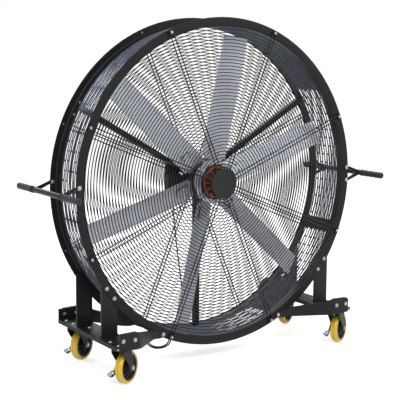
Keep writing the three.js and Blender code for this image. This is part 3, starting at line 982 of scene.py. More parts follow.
@dataclass
class MainsLead:
    """The lead from the junction box to its plug."""

    radius: float = 0.0033
    on_floor: float = 0.0036
    down: tuple[Point, ...] = (
        (-0.130, 0.105, 0.7464), (-0.130, 0.105, 0.722), (-0.127, 0.107, 0.680), (-0.118, 0.110, 0.620),
        (-0.108, 0.111, 0.540), (-0.095, 0.112, 0.450), (-0.082, 0.112, 0.360), (-0.074, 0.111, 0.290),
        (-0.078, 0.108, 0.225), (-0.098, 0.101, 0.173), (-0.138, 0.091, 0.141), (-0.185, 0.079, 0.143),
        (-0.226, 0.066, 0.157), (-0.256, 0.055, 0.164), (-0.280, 0.047, 0.152),
    )
    back: tuple[Point, ...] = (
        (-0.216, 0.010, 0.115), (-0.211, 0.052, 0.118), (-0.209, 0.094, 0.108), (-0.211, 0.134, 0.083),
        (-0.216, 0.172, 0.050), (-0.222, 0.206, 0.020), (-0.225, 0.232, 0.0055),
    )
    slack_centre: Point = (-0.280, -0.005, 0.100)
    slack_radius: float = 0.056
    coil_centre: tuple[float, float] = (-0.284, 0.253)
    coil_inner: float = 0.027
    coil_outer: float = 0.0502
    coil_from: float = 22.4
    coil_turns: float = 6.095
    coil_layer: float = 0.0074
    coil_steps: int = 24
    plug_height: float = 0.0163
    tie_angle: float = 190.0
    tie_width: float = 0.0048
    tie_thickness: float = 0.0007

    def slack(self) -> Array:
        """The turns that hang under the drum: a circle in a leaning plane that widens from 0.8 to 1.05 radii.

        Returns:
            The places passed.
        """
        angle = np.radians(np.arange(150, 741, 30))[:, None]
        size = self.slack_radius * np.interp(angle, [angle[0, 0], angle[-1, 0]], [0.8, 1.05])
        aside, rear = np.array([0.834, -0.552, 0.0]), np.array([0.491, 0.743, 0.454])
        return self.slack_centre + size * (np.cos(angle) * aside + np.sin(angle) * rear)

    def coil(self) -> Array:
        """The coil: a spiral in along the floor, up a layer in half a turn, and out to the plug's height.

        Returns:
            The places passed.
        """
        count = round(self.coil_turns * self.coil_steps)
        share = np.arange(count + 1) / count
        angle = np.radians(self.coil_from + 360 * self.coil_turns * share)
        radius = self.coil_inner + (self.coil_outer - self.coil_inner) * np.abs(1 - 2 * share)
        climb = np.clip((share - 0.5) * self.coil_turns * 2 + 0.5, 0, 1)
        lift = np.clip((share - 1) * self.coil_turns * 3 + 1, 0, 1)
        last_rise = self.plug_height - self.on_floor - self.coil_layer
        z = self.on_floor + climb * self.coil_layer + lift * last_rise
        x, y = self.coil_centre
        return np.stack([x + radius * np.cos(angle), y + radius * np.sin(angle), z], -1)

    def route(self) -> Array:
        """The whole way from the gland to the plug.

        Returns:
            The places passed.
        """
        coil, level = self.coil(), X + Y
        before, after = unit((coil[0] - coil[1]) * level), unit((coil[-1] - coil[-2]) * level)
        start = [coil[0] + before * (5 * self.radius + GAP), coil[0] + before * 2 * self.radius]
        end = [coil[-1] + after * 2 * self.radius]
        return np.concatenate([self.down, self.slack(), self.back, start, coil, end])

    def tie(self) -> bpy.types.Object:
        """Makes the band that holds the coil: a flat strap round the turns, and its latch on top.

        Returns:
            The piece.
        """
        half, around_lead = self.tie_thickness / 2, self.radius + self.tie_thickness
        inner, outer = self.coil_inner - around_lead, self.coil_outer + around_lead
        top, middle = self.on_floor + self.coil_layer + around_lead, (inner + outer) / 2
        loop = np.insert(rounded(oblong((inner, half), (outer, top)), 0.004, 5), 1, 0.0, axis=1)
        section = rounded(oblong((-self.tie_width / 2, -half), (self.tie_width / 2, half)), 0.0002, 2)
        surface = Surface().swept(loop, section, Y, closed=True)
        surface.box((middle - 0.0035, -0.0034, top), (middle + 0.0035, 0.0034, top + 0.0032))
        surface.box((middle - 0.016, -0.0020, top + 0.0010), (middle - 0.0030, 0.0020, top + 0.0019))
        turn = Matrix.Rotation(math.radians(self.tie_angle), 4, "Z")
        return show("coil_tie", surface.moved(Matrix.Translation((*self.coil_centre, 0.0)) @ turn), PLASTIC)

    def plug(self) -> bpy.types.Object:
        """Makes the plug: a moulded body with a ribbed relief and two pins.

        Returns:
            The piece.
        """
        route = self.route()
        way = unit((route[-1] - route[-2]) * (X + Y))
        start = route[-1] + way * GAP
        body = [[10.5, 28], [15, 33], [15.7, 44], [15.7, 72], [14.8, 75.5], [0, 76]]
        profile = np.concatenate([[[0, 0]], ribbed(0, 27, 1.5, 6.2, 0.11, 0.9), body]) * MM
        surface = Surface().turned(profile, start, way, 32)
        pin = mm([0, 70], [2.4, 70], [2.4, 93], [1.6, 95], [0, 95])
        for shift in (-0.0095, 0.0095):
            surface.turned(pin, start + np.cross(Z, way) * shift, way, 12)
        return show("mains_plug", surface, PLASTIC, "plug")

    def cord(self, plug: bpy.types.Object, tie: bpy.types.Object) -> None:
        """Makes the lead as one curve.

        Args:
            plug: The piece at its far end; not used.
            tie: The band round its coil; not used.
        """
        route = smooth_route(self.route(), 5)
        curve = bpy.data.curves.new("mains_lead", "CURVE")
        curve.dimensions, curve.bevel_depth, curve.bevel_resolution = "3D", self.radius, 2
        curve.use_fill_caps = True
        spline = curve.splines.new("POLY")
        spline.points.add(len(route) - 1)
        spline.points.foreach_set("co", np.insert(route, 3, 1.0, axis=1).astype(np.float32).ravel())
        curve.materials.append(material(LEAD))
        obj = placed("mains_lead", curve)
        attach(obj, "frame")
        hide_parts("lead", "lead_coil")

    def build(self) -> None:
        """Makes the plug, the tie and the lead."""
        self.cord(self.plug(), self.tie())


# ---- drum ----------------------------------------------------------------------------------------


@dataclass
class Drum:
    """Rims, pierced wall, wire guards and their fasteners."""

    radius: float = 0.760
    wall_inner: float = 0.722
    wall_outer: float = 0.727
    leg: float = 0.044
    bend: float = 0.006
    wire: float = 0.0028
    ring_wire: float = 0.0022
    ring_pitch: float = 0.015
    ring_first: float = 0.060
    ring_last: float = 0.7201
    pairs: int = 8
    pair_offset: float = 0.009
    pair_phase: float = 22.5
    pair_from: float = 0.055
    pair_reach: float = 0.752
    cells_round: int = 52
    cell_steps: int = 10
    strand_pitch: float = 0.017
    strand_rows: int = 10
    strand_wave: float = 0.0010
    strand_lean: float = 75.0
    strand_half_width: float = 0.0029
    strand_half_sheet: float = 0.00065
    bridge_half_width: float = 0.0038
    bridge_half_sheet: float = 0.0011
    seam: float = 151.0
    seam_screws: tuple[float, float] = (148.6, 153.3)
    seam_screw_rows: tuple[float, float] = (-0.095, 0.095)
    clamp_low: Point = (0.7365, -0.0002, -0.015)  # outwards, off the wires' face, sideways
    clamp_high: Point = (0.7545, 0.0019, 0.015)
    overlaps: tuple[tuple[float, float], ...] = ((35.0, 90.0), (-66.0, -47.0))
    strap: tuple[float, float] = (-24.0, -19.0)
    strap_half_width: float = 0.0835

    def rims(self) -> None:
        """An L-section ring at each end: a flat face outwards and a leg along the wall, bent in one round."""
        back, last = RIM_FACE - RIM_SHEET, RIM_FACE - self.leg
        inner, outer = self.wall_inner, self.wall_outer
        profile = rounded(np.array([
            [inner, last], [inner, RIM_FACE], [self.radius, RIM_FACE], [self.radius, back],
            [outer + self.bend, back], [outer, back - self.bend], [outer, last],
        ]), 0.0024)
        for name, end in ENDS.items():
            surface = Surface().turned(profile * [1.0, end], AXIS, Y, 288)
            show(f"{name}_rim_ring", surface, PAINT, f"{name}_rim", sharp=50.0)

    def wall(self) -> None:
        """Expanded metal: strands that run round the drum in small waves, and bridges that join them.

        A strand's Y is its row plus or minus the wave's height times a triangle wave. Next rows are half
        a wave apart and a flat bridge joins them where they come closest. A strand's flat section leans,
        one way in the main sheet and the other way in the sheet from the seam to the top. Where sheets
        overlap, a second layer's strands lie half a pitch further on.
        """
        mid = (self.wall_inner + self.wall_outer) / 2
        half = np.array([self.strand_half_width, self.strand_half_sheet])
        flat = rounded(oblong(-half, half), 0.0003, 1)
        rows = (np.arange(self.strand_rows) - (self.strand_rows - 1) / 2) * self.strand_pitch
        surface, bridges = Surface(), Surface()
        sheets = [(self.seam - 360.0, 90.0, 1.0, 0.0), (89.0, self.seam + 0.8, -1.0, 0.0)]
        sheets += [(start, end, 1.0, self.strand_pitch / 2) for start, end in self.overlaps]
        for start, end, way, shift in sheets:
            lean = math.radians(self.strand_lean * way)
            leaning = flat @ np.array([[math.cos(lean), math.sin(lean)], [-math.sin(lean), math.cos(lean)]])
            steps = round((end - start) / 360 * self.cells_round * self.cell_steps)
            degrees = np.linspace(start, end, steps + 1)
            wave = 1 - 4 * np.abs((degrees * self.cells_round / 360) % 1 - 0.5)
            for number, row in enumerate(rows):
                y = row + shift + wave * self.strand_wave * (-1) ** number
                surface.swept(ring_places(mid, y[:, None], degrees), leaning, Y)
        # The strands take the colour with the painted sheen; the bridges below keep the plain black paint.
        show("drum_mesh", surface, MESH_SHEEN_PAINT, "drum_wall", sharp=60.0)
        reach = self.strand_pitch / 2 - self.strand_wave + SINK
        corner = np.array([reach, self.bridge_half_width, self.bridge_half_sheet])
        bridge = Surface().box(-corner, corner)
        for number, row in enumerate(rows[:-1]):
            degrees = (np.arange(self.cells_round) + (0.5, 0.0)[number % 2]) * 360 / self.cells_round
            bridges.copies(bridge, ring_places(mid, row + self.strand_pitch / 2, degrees), spoke(degrees), Y)
        show("drum_mesh_bridges", bridges, PAINT)

    def straps(self) -> None:
        """A plain strip that joins the mesh's ends, and the ring that the lead leaves through."""
        arc = spoke(np.linspace(*self.strap, 8))[:, [0, 2]]
        outline = np.concatenate([arc * (self.wall_outer + 0.0006), arc[::-1] * (self.wall_inner - 0.0006)])
        surface = Surface().prism(outline + AXIS[[0, 2]], -self.strap_half_width, self.strap_half_width, "y")
        show("mesh_joint_straps", surface, PAINT, bevel=0.0006)
        ring = mm([5.2, -7], [9, -7], [9, -2], [7.6, -2], [7.6, 2], [9, 2], [9, 7], [5.2, 7])
        centre, way = np.array([-0.2760, 0.0482, 0.1545]), np.array([-0.024, -0.008, -0.012])
        show("lead_grommet", Surface().turned(rounded(ring, 0.0008, 3), centre, way, 24), PLASTIC)

    def guard(self, name: str, end: float) -> None:
        """Round wires: rings at one pitch, welded behind pairs of radial wires that end on the rim.

        Args:
            name: The guard's name.
            end: -1 at the front and 1 at the rear.
        """
        surface, wire, length = Surface(), self.wire, self.pair_reach - self.pair_from
        near = end * (RIM_FACE + 0.0001 + wire)
        behind = near - end * (wire + self.ring_wire - SINK)
        for radius in np.arange(self.ring_first, self.ring_last, self.ring_pitch):
            count = int(48 + radius * 260)  # more steps on a wider ring
            degrees = np.arange(count) * 360 / count
            surface.swept(ring_places(radius, behind, degrees), disc(self.ring_wire, 6), Y, closed=True)
        half = [[0, 0], [wire * 0.8, 0], [wire, 0.0006]]
        profile = np.concatenate([half, (np.array(half) * [1, -1] + [0, length])[::-1]])
        rod = Surface().turned(profile, np.zeros(3), Z, 8)
        out, beside = spoke(self.angles), spoke(self.angles + 90)
        for shift in (-self.pair_offset, self.pair_offset):
            surface.copies(rod, AXIS + out * self.pair_from + beside * shift + Y * near, out)
        show(f"{name}_wires", surface, WIRE_PAINT, name, sharp=60.0)

    @property
    def angles(self) -> Array:
        """Where the pairs of radial wires are, in degrees."""
        return self.pair_phase + np.arange(self.pairs) * 360 / self.pairs

    def disc(self) -> None:
        """The plain pressed disc in the middle of the front guard."""
        front, back = -0.1361, -0.1331
        edge = np.array([[0.0700, back], [0.0700, front + 0.0006], [0.0680, front], [0.058, front]])
        middle = [[0.0565, front + 0.0007], [0.0, front + 0.0007]]
        profile = np.concatenate([[[0.0, back]], rounded(edge, 0.0012, 4, False), middle])
        show("guard_centre_disc", Surface().turned(profile, AXIS, Y, 96), DISC_PAINT, "guard_disc")

    def fasteners(self) -> None:
        """Screws with a clamp plate at the end of each wire pair, and screws on the mesh's seam."""
        surface, clips, plate = Surface(), Surface(), self.clamp_high[1]
        screw, seam = fastener(Head.HEX, 5.8, 4.8, 7.0), np.array(self.seam_screws)
        for end in ENDS.values():
            face = end * (RIM_FACE + GAP + 2 * self.wire)
            inside = ring_places(RIM_BOLTS, end * (RIM_FACE - RIM_SHEET), self.angles)
            surface.copies(screw, ring_places(RIM_BOLTS, face + end * plate, self.angles), end * Y)
            surface.copies(fastener(Head.HEX, 4.8, 4.0), inside, -end * Y)
            corners = np.array([self.clamp_low, self.clamp_high]) * [1.0, end, 1.0] + AXIS + face * Y
            for angle in self.angles:
                clips.join(Surface().box(*corners).moved(round_y(float(angle))))
        for y in self.seam_screw_rows:
            surface.copies(screw, ring_places(self.wall_outer, y, seam), spoke(seam))
        show("guard_clamps", clips, PAINT, bevel=0.0004)
        show("guard_screws", surface, ZINC)

    def build(self) -> None:
        """Makes every piece of the drum."""
        self.rims()
        self.wall()
        self.straps()
        for name, end in ENDS.items():
            self.guard(f"{name}_guard", end)
        self.disc()
        self.fasteners()


# ---- rotor and motor -----------------------------------------------------------------------------


@dataclass
class Rotor:
    """Six extruded blades on a turned hub with an orange vented cover."""

    blades: int = 6
    phase: float = 77.5
    root: float = 0.112
    tip: float = 0.689
    pitch: float = 20.0
    plane: float = -0.007
    half_chord: float = 0.058
    vents: int = 12
    hub_screws: int = 12
    hub_screw_radius: float = 0.0962
    hub_face: float = -0.0461

    def place(self, number: int) -> Matrix:
        """Carries (chord, thickness, span) from the drum's axis to a blade.

        Args:
            number: The blade, from 0.

        Returns:
            The move.
        """
        s, c = math.sin(math.radians(self.pitch)), math.cos(math.radians(self.pitch))
        matrix = Matrix(((0, 0, 1, 0), (-s, c, 0, 0), (-c, -s, 0, 0), (0, 0, 0, 1)))
        shift = Matrix.Translation(Vector(AXIS) + Vector((0, self.plane, 0)))
        return round_y(self.phase - 360 / self.blades * number) @ (shift @ matrix)

    def section(self) -> Array:
        """Cambered section: camber 26 s (1 - s) mm, and the usual four-digit thickness of 10 mm on it.

        Returns:
            Its outline as (chord, thickness) rows.
        """
        s = (1 - np.cos(np.linspace(0, math.pi, 22))) / 2
        thick = 0.2969 * np.sqrt(s) - 0.1260 * s - 0.3516 * s**2 + 0.2843 * s**3 - 0.1036 * s**4
        half, camber = 50 * thick + 0.7 * s, 26 * s * (1 - s) - 0.5
        heights = ((camber + half) * MM, (camber - half) * MM)
        upper, lower = (np.stack([(2 * s - 1) * self.half_chord, height], -1) for height in heights)
        return np.concatenate([upper, lower[-2:0:-1]])

    def blade(self, number: int) -> None:
        """One blade of constant section with a flat cap at its tip.

        Args:
            number: The blade, from 0.
        """
        spans = np.array([self.root, 0.16, 0.3, 0.45, 0.6, self.tip - 0.0006, self.tip])
        scale = np.where(spans < self.tip, 1.0, 0.985)
        flat = np.insert(self.section()[None] * scale[:, None, None], 2, 0.0, axis=-1)
        flat[..., 2] = spans[:, None]
        surface = Surface().grid(flat, (False, True), caps=True).moved(self.place(number))
        show(f"blade_{number + 1}_skin", surface, BLADE, f"blade_{number + 1}", "rotor", sharp=40.0)

    def hub(self) -> None:
        """Bright stepped face with a collar, the dark barrel behind it, and the clamp on each blade root."""
        face = mm(
            [18.3, -34.5], [18.3, -46], [81.8, -46], [81.8, -63], [82.6, -64], [84.8, -64], [85.5, -63],
            [85.5, -53], [88.4, -52], [88.4, -46.6], [102.4, -46], [104, -44.6], [104, -41], [103, -40],
            [98, -40], [96.8, -38], [32, -38], [32, -34.5],
        )
        barrel = mm([96.5, -39.8], [102, -39.8], [102, 7], [101, 8], [96.5, 8])
        face_ring = Surface().turned(rounded(face, 0.0009, 3), AXIS, Y, 128)
        show("rotor_face", face_ring, HUB, "rotor_hub", "rotor", sharp=28.0)
        show("rotor_barrel", Surface().turned(barrel, AXIS, Y, 96), PAINT, "", "rotor")
        inner = mm([99, -40], [124, -44], [124, 44], [99, 40])
        outer = mm([124, -26], [176, -26], [186, -18], [186, 18], [176, 26], [124, 26])
        pad = Surface().prism(rounded(inner, 0.003, 3), -0.0055, 0.0030, "y")
        plate = Surface().prism(rounded(outer, 0.003, 3), -0.0080, -0.0040, "y")
        spots = mm(*([x, -8, z] for x in (-17, 17) for z in (134, 170)))
        heads = Surface().copies(fastener(Head.HEX, 5.2, 3.6, 6.6), spots, -Y)
        swap = Matrix(((0, 0, 1, 0), (0, 1, 0, 0), (1, 0, 0, 0), (0, 0, 0, 1)))  # plates are drawn along X
        pads, plates, bolts = Surface(), Surface(), Surface()
        for number in range(self.blades):
            place = self.place(number)
            pads.join(pad.moved(place @ swap))
            plates.join(plate.moved(place @ swap))
            bolts.join(heads.moved(place))
        show("blade_root_pads", pads, BLADE, "", "rotor", 0.0008)
        show("blade_clamps", plates, BLADE, "", "rotor", 0.0006)
        show("blade_clamp_bolts", bolts, DARK_ZINC, "", "rotor")
        angles = np.arange(self.hub_screws) * 360 / self.hub_screws
        places = ring_places(self.hub_screw_radius, self.hub_face, angles)
        screws = Surface().copies(fastener(Head.DOME, 3.8, 2.6), places, -Y)
        show("hub_screws", screws, DARK_ZINC, "", "rotor")

    def cap(self) -> None:
        """Orange cover with radial slots, over a black vent disc, in a black rim."""
        shell = mm([0, -76], [66, -76], [73.6, -75.4], [75, -73.6], [75, -46.4], [72, -46.4], [72, -71],
                   [0, -71])
        slot = rounded(mm([30, -5.2], [66, -14.4], [66, 14.4], [30, 5.2]), 0.003)
        wedge, cutter = Surface().prism(slot + AXIS[[0, 2]], -0.085, -0.060, "y"), Surface()
        for k in range(self.vents):
            cutter.join(wedge.moved(round_y((k + 0.5) * 360 / self.vents)))
        mesh = carved("orange_vent_cover", Surface().turned(shell, AXIS, Y, 96), cutter)
        show("orange_vent_cover", mesh, ORANGE, "motor_cap", "rotor")
        vent = mm([0, -68.5], [71.8, -68.5], [71.8, -66.5], [0, -66.5])
        band = rounded(oblong(mm(75.2, -74), mm(79, -46.5)), 0.0008, 2)
        dark = Surface().turned(vent, AXIS, Y, 48).turned(band, AXIS, Y, 96)
        show("cover_vent_and_band", dark, PLASTIC, "", "rotor")

    def build(self) -> None:
        """Makes every piece that turns."""
        for number in range(self.blades):
            self.blade(number)
        self.hub()
        self.cap()


@dataclass
class MotorFrame:
    """What holds the motor in the drum: three arms, the mount, and the junction box with its gland."""

    angles: tuple[float, ...] = (150.0, 30.0, -90.0)
    half_width: float = 0.013
    inner: float = 0.026
    outer: float = 0.7203
    front: float = 0.088
    rear: float = 0.118
    sheet: float = 0.004
    foot_from: float = 0.652
    bolt_places: tuple[float, float] = (0.050, 0.078)
    box_low: Point = (-0.166, 0.0885, 0.771)
    box_high: Point = (-0.094, 0.122, 0.861)

    def arms(self) -> None:
        """Folded channels, open to the rear, with a foot on the rim's leg and bolts on the mount."""
        half, front, rear, back = self.half_width, self.front, self.rear, self.front + self.sheet
        core = half - self.sheet
        outline = rounded(np.array([
            [front, -half], [front, half], [rear, half], [rear, core], [back, core], [back, -core],
            [rear, -core], [rear, -half],
        ]), 0.0025, 3)
        channel = Surface().prism(outline + AXIS[1:], self.inner, self.outer, "x")
        foot_size = [[self.foot_from, front + 0.0044, -0.0088], [self.outer - 0.0004, rear - 0.002, 0.0088]]
        foot, feet, bolts = Surface().box(*(foot_size + AXIS)), Surface(), Surface()
        spots = AXIS + [[x, back, 0.0] for x in self.bolt_places]
        heads = Surface().copies(fastener(Head.HEX, 7.0, 5.5, 8.4), spots, Y)
        for number, angle in enumerate(self.angles, 1):
            turn = round_y(angle)
            show(f"motor_arm_{number}_channel", channel.moved(turn), PAINT, f"motor_arm_{number}", sharp=50.0)
            feet.join(foot.moved(turn))
            bolts.join(heads.moved(turn))
        show("arm_feet", feet, PAINT, bevel=0.0015)
        show("arm_bolts", bolts, ZINC)

    def mount(self) -> None:
        """Fixed shaft, rear cover with square cooling ribs, and the flange for the arms."""
        radius, height = ribbed(20, 59, 3.25, 45, 0, -7).repeat(2, 0).T
        corners = np.concatenate([
            [[0, -60], [17.4, -60], [17.4, 10.8], [104, 10.8], [106, 12.5], [106, 17.4], [104, 19]],
            np.stack([radius[1:], height[:-1]], -1),
            [[45, 60], [90, 60], [92, 62], [92, 86], [90.4, 87.5], [0, 87.5]],
        ]) * MM
        show("motor_body", Surface().turned(corners, AXIS, Y, 96), PAINT, "motor_mount")
        repaint(WINDING, "stator")

    def box(self) -> None:
        """Junction box with a screwed lid, and the gland that the lead leaves by."""
        low, high = np.array(self.box_low), np.array(self.box_high)
        outline, middle = rounded(oblong(low[[0, 2]], high[[0, 2]]), 0.006, 5), (low + high)[[0, 2]] / 2
        surface = Surface().prism(outline, low[1], 0.1120, "y")
        surface.prism(middle + (outline - middle) * 0.975, 0.1118, 0.1135, "y")
        surface.prism(outline, 0.1133, high[1] - 0.0004, "y")
        surface.box((-0.164, 0.1186, 0.855), (-0.082, 0.1216, 0.903))
        surface.box((-0.097, 0.0895, 0.784), (-0.050, 0.1180, 0.850))
        show("junction_box_case", surface, PLASTIC, "junction_box", bevel=0.001)
        spots = np.array([[x, high[1] - 0.0005, z] for x in (-0.159, -0.101) for z in (0.778, 0.854)])
        show("junction_box_screws", Surface().copies(fastener(Head.DOME, 3.6, 1.6), spots, Y), ZINC)
        nut, end = [[0, 0], [10.6, 0], [11, 0.6], [11, 8], [10, 9]], [[5.4, 24], [0, 24]]
        profile = np.concatenate([nut, ribbed(9, 23.5, 1.2, 8.2, -0.12, 0.5), end]) * MM
        top = np.array([middle[0], 0.105, low[2] - GAP])
        show("lead_gland", Surface().turned(profile, top, -Z, 24), PLASTIC, "cable_gland")

    def build(self) -> None:
        """Makes every fixed piece of the motor."""
        self.arms()
        self.mount()
        self.box()


# ---- handles -------------------------------------------------------------------------------------


@dataclass
class Handles:
    """A push bar at each side, on brackets bolted to both rims, with a grip at each end."""

    x: float = 0.830
    bar: float = 0.0125
    reach: float = 0.294
    grip: float = 0.016
    grip_from: float = 0.150
    grip_to: float = 0.298
    bolt_rise: float = 0.031
    sheet: float = 0.005
    weld: float = 0.1308

    def brackets(self, side: float) -> Surface:
        """Two flat legs that spread from the bar to two rim bolts, at the front and at the rear.

        Args:
            side: -1 at the left and 1 at the right.

        Returns:
            The closed shapes.
        """
        surface, rise, end_x = Surface(), self.bolt_rise, self.x + 0.004
        outline = rounded(np.array([
            [0.737, rise + 0.009], [0.751, rise + 0.0095], [0.765, rise + 0.003], [end_x, 0.0085],
            [end_x, 0.0], [self.x - 0.024, 0.0], [0.757, rise - 0.0085], [0.737, rise - 0.009],
        ]), 0.006)
        for end in ENDS.values():
            low, high = sorted(end * (RIM_FACE + GAP + thickness) for thickness in (0.0, self.sheet))
            for up in (-1.0, 1.0):
                surface.prism(outline * [side, up] + AXIS[[0, 2]], low, high, "y")
        return surface

    def side(self, name: str, side: float) -> None:
        """Makes the bar, brackets, bolts and grips of one side.

        Args:
            name: The side's name.
            side: -1 at the left and 1 at the right.
        """
        centre, bar, behind = AXIS + X * side * self.x, Surface(), RIM_FACE - RIM_SHEET
        ends = [[0, -self.reach], [self.bar, -self.reach], [self.bar, self.reach], [0, self.reach]]
        bar.turned(np.array(ends), centre, Y, 40)
        bead = mm([-0.5, -6], [1.8, -3], [1.8, 3], [-0.5, 6]) + [self.bar, 0.0]
        for end in ENDS.values():
            bar.turned(bead + [0.0, end * self.weld], centre, Y, 32)
        show(f"{name}_push_bar", bar, BAR_PAINT, f"{name}_handle")
        show(f"{name}_bar_brackets", self.brackets(side), PAINT, bevel=0.0008)
        bolts = Surface()
        places = AXIS + [[side * RIM_BOLTS, 0.0, rise] for rise in (-self.bolt_rise, self.bolt_rise)]
        for end in ENDS.values():
            face = RIM_FACE + GAP + self.sheet
            bolts.copies(fastener(Head.DOME, 8.5, 6.0, 10.5), places + Y * end * face, end * Y)
            bolts.copies(fastener(Head.HEX, 8.0, 6.0, 10.0), places + Y * end * behind, -end * Y)
        show(f"{name}_bar_bolts", bolts, ZINC)
        for end_name, end in ENDS.items():
            self.sleeve(f"{name}_{end_name}_grip", centre, end * Y)

    def sleeve(self, node: str, centre: Array, along: Array) -> None:
        """A grip: a collar, a body with shallow waves for the fingers and a domed end with a vent hole.

        Args:
            node: The grip's node.
            centre: The middle of the bar.
            along: The way from there to the grip.
        """
        t, start, to = np.linspace(0, 1, 40), self.grip_from, self.grip_to
        waves = 0.0009 * (0.5 - 0.5 * np.cos(TURN * 4 * t)) * np.sin(math.pi * t) ** 0.5
        body = np.stack([self.grip - 0.0006 - waves, start + 0.012 + t * (to - start - 0.018)], -1)
        collar = [[0.0134, start], [0.0157, start + 0.0006], [self.grip, start + 0.002],
                  [self.grip, start + 0.009], [self.grip - 0.001, start + 0.0105]]
        end = [[0.0150, 0.2945], [0.0128, 0.2972], [0.0105, to], [0.0045, to], [0.0040, 0.2974],
               [0.0040, 0.2946], [0.0, 0.2946]]
        inside = [[0.0, 0.2943], [0.0134, 0.2943]]
        surface = Surface().turned(np.concatenate([inside, collar, body, end]), centre, along, 40)
        show(f"{node}_sleeve", surface, GRIP, node)

    def build(self) -> None:
        """Makes both handles."""
        for name, side in SIDES.items():
            self.side(name, side)


# ---- base ----------------------------------------------------------------------------------------


@dataclass
class Base:
    """Side platforms, channel uprights and folded beams, with their bolts."""

    outer: float = 0.658
    inner: float = 0.542
    front: float = -0.284
    rear: float = 0.276
    top: float = 0.190
    plate: float = 0.005
    lip: float = 0.018
    ends: float = 0.050
    wall: float = 0.004
    beam: float = 0.0046
    beam_inner: float = 0.3131
    beam_outer: float = 0.640
    fold_sheet: float = 0.0035

    def beyond(self, end: float, distance: float) -> float:
        """Y of a place at a distance beyond the decks' front or rear end."""
        return (self.front if end < 0 else self.rear) + end * distance

    def platform(self, name: str, side: float) -> None:
        """Makes a deck folded down along both long edges, with a plate folded up at each end.

        Args:
            name: The side's name.
            side: -1 at the left and 1 at the right.
        """
        inner, outer, top, wall, lip = self.inner, self.outer, self.top, self.wall, self.top - self.lip
        under, groove = top - self.plate, outer - 0.0018
        outline = rounded(np.array([
            [inner, lip], [inner, top], [outer, top], [outer, top - 0.0052], [groove, top - 0.0066],
            [groove, top - 0.0112], [outer, top - 0.0124], [outer, lip], [outer - wall, lip],
            [outer - wall, under], [inner + wall, under], [inner + wall, lip],
        ]), 0.0016, 3)
        surface = Surface().prism(outline * [side, 1.0], self.front, self.rear, "y")
        for low, to in ((self.front, self.beam_outer), (self.rear - wall, self.outer)):
            end = rounded(oblong((inner + 0.002, top - 0.001), (to - 0.002, top + self.ends)), 0.004)
            surface.prism(end * [side, 1.0], low, low + wall, "y")
        show(f"{name}_platform_deck", surface, DECK_PAINT, f"{name}_platform", bevel=0.0007)

    def beam_shape(self, side: float, end: float) -> Surface:
        """A plate along a bent plan line, its edges a function of X, its top edge folded inwards.

        Args:
            side: -1 at the left and 1 at the right.
            end: -1 at the front and 1 at the rear.

        Returns:
            The closed shape.
        """
        half = self.beam / 2
        edge, rim = self.beyond(end, GAP + half), end * (RIM_FACE + GAP + half)
        corners = [[self.beam_outer, edge], [0.540, edge], [0.378, rim], [0.312, rim]]
        plan = rounded(np.array(corners), 0.022, 6, False)[::-1]
        close = self.beam_inner + 0.022 * np.linspace(0.02, 1, 10) ** 2
        x = np.unique(np.concatenate([np.linspace(self.beam_inner, self.beam_outer, 60), close]))[::-1]
        y = np.interp(x, plan[:, 0], plan[:, 1])
        low = np.interp(x, *mm([313, 316, 324, 352, 400, 540, 640], [158, 153, 149, 147, 151, 168, 171]))
        high = np.interp(x, *mm([313, 316, 333, 400, 557, 631, 640], [160, 170, 175, 197, 245, 243, 236]))
        fold = half + np.interp(x, *mm([345, 400, 560, 640], [0.2, 6, 14, 14]))
        ahead = unit(np.stack([np.gradient(x), np.gradient(y)], -1))
        aside = np.stack([-ahead[:, 1], ahead[:, 0]], -1)
        aside *= np.where(aside[:, 1:] * end < 0, 1.0, -1.0)
        out, back = np.full_like(x, -half), np.full_like(x, half)
        offsets = np.stack([out, back, back, fold, fold, out], -1)
        under = high - self.fold_sheet
        heights = np.stack([low, low, under, under, high, high], -1)
        flat = np.stack([x, y], -1)[:, None] + offsets[..., None] * aside[:, None]
        points = np.concatenate([flat * [side, 1.0], heights[..., None]], -1)
        return Surface().grid(points, (False, True), caps=True)

    def beams(self) -> None:
        """Makes the four folded beams, and paints the four plate uprights that are shown as they are."""
        corners = {f"{s}_{e}": (side, end) for s, side in SIDES.items() for e, end in ENDS.items()}
        for name, (side, end) in corners.items():
            shape = self.beam_shape(side, end)
            show(f"{name}_beam_plate", shape, BASE_PAINT, f"{name}_beam", bevel=0.0006, sharp=24.0)
        repaint(BASE_PAINT, *(f"{name}_upright" for name in corners))

    def bolts(self) -> None:
        """Makes the bolts of the beams and uprights, and the caster bolts on the decks."""
        big, small = fastener(Head.DOME, 8.2, 6.0, 9.8), fastener(Head.DOME, 4.5, 3.0)
        nut, surface = fastener(Head.HEX, 7.8, 6.0, 9.8), Surface()
        for side in SIDES.values():
            for name, end in ENDS.items():
                face, inside = self.beyond(end, GAP + self.beam), self.beyond(end, -self.wall)
                rim, on_beam = end * RIM_FACE, end * (RIM_FACE + GAP + self.beam)
                deck = [(CASTER_COLUMN + x, CASTER_ROWS[name] + y, self.top) for x, y in CASTER_BOLTS]
                rows = (
                    (big, end * Y, [(0.566, face, 0.212), (0.624, face, 0.213), (0.615, rim, 0.411),
                                    (0.578, rim, 0.362), (0.329, on_beam, 0.1635)]),
                    (big, Z, [*deck, (0.605, end * 0.060, self.top)]),
                    (nut, -end * Y, [(0.566, inside, 0.212), (0.624, inside, 0.213)]),
                    (small, end * Y, [(0.6475, face - end * self.beam, 0.1795)]),
                )
                for shape, out, places in rows:
                    surface.copies(shape, np.array(places) * [side, 1.0, 1.0], out)
        show("base_bolts", surface, ZINC)

    def build(self) -> None:
        """Makes every piece of the base."""
        for name, side in SIDES.items():
            self.platform(name, side)
        self.beams()
        self.bolts()


# ---- casters -------------------------------------------------------------------------------------


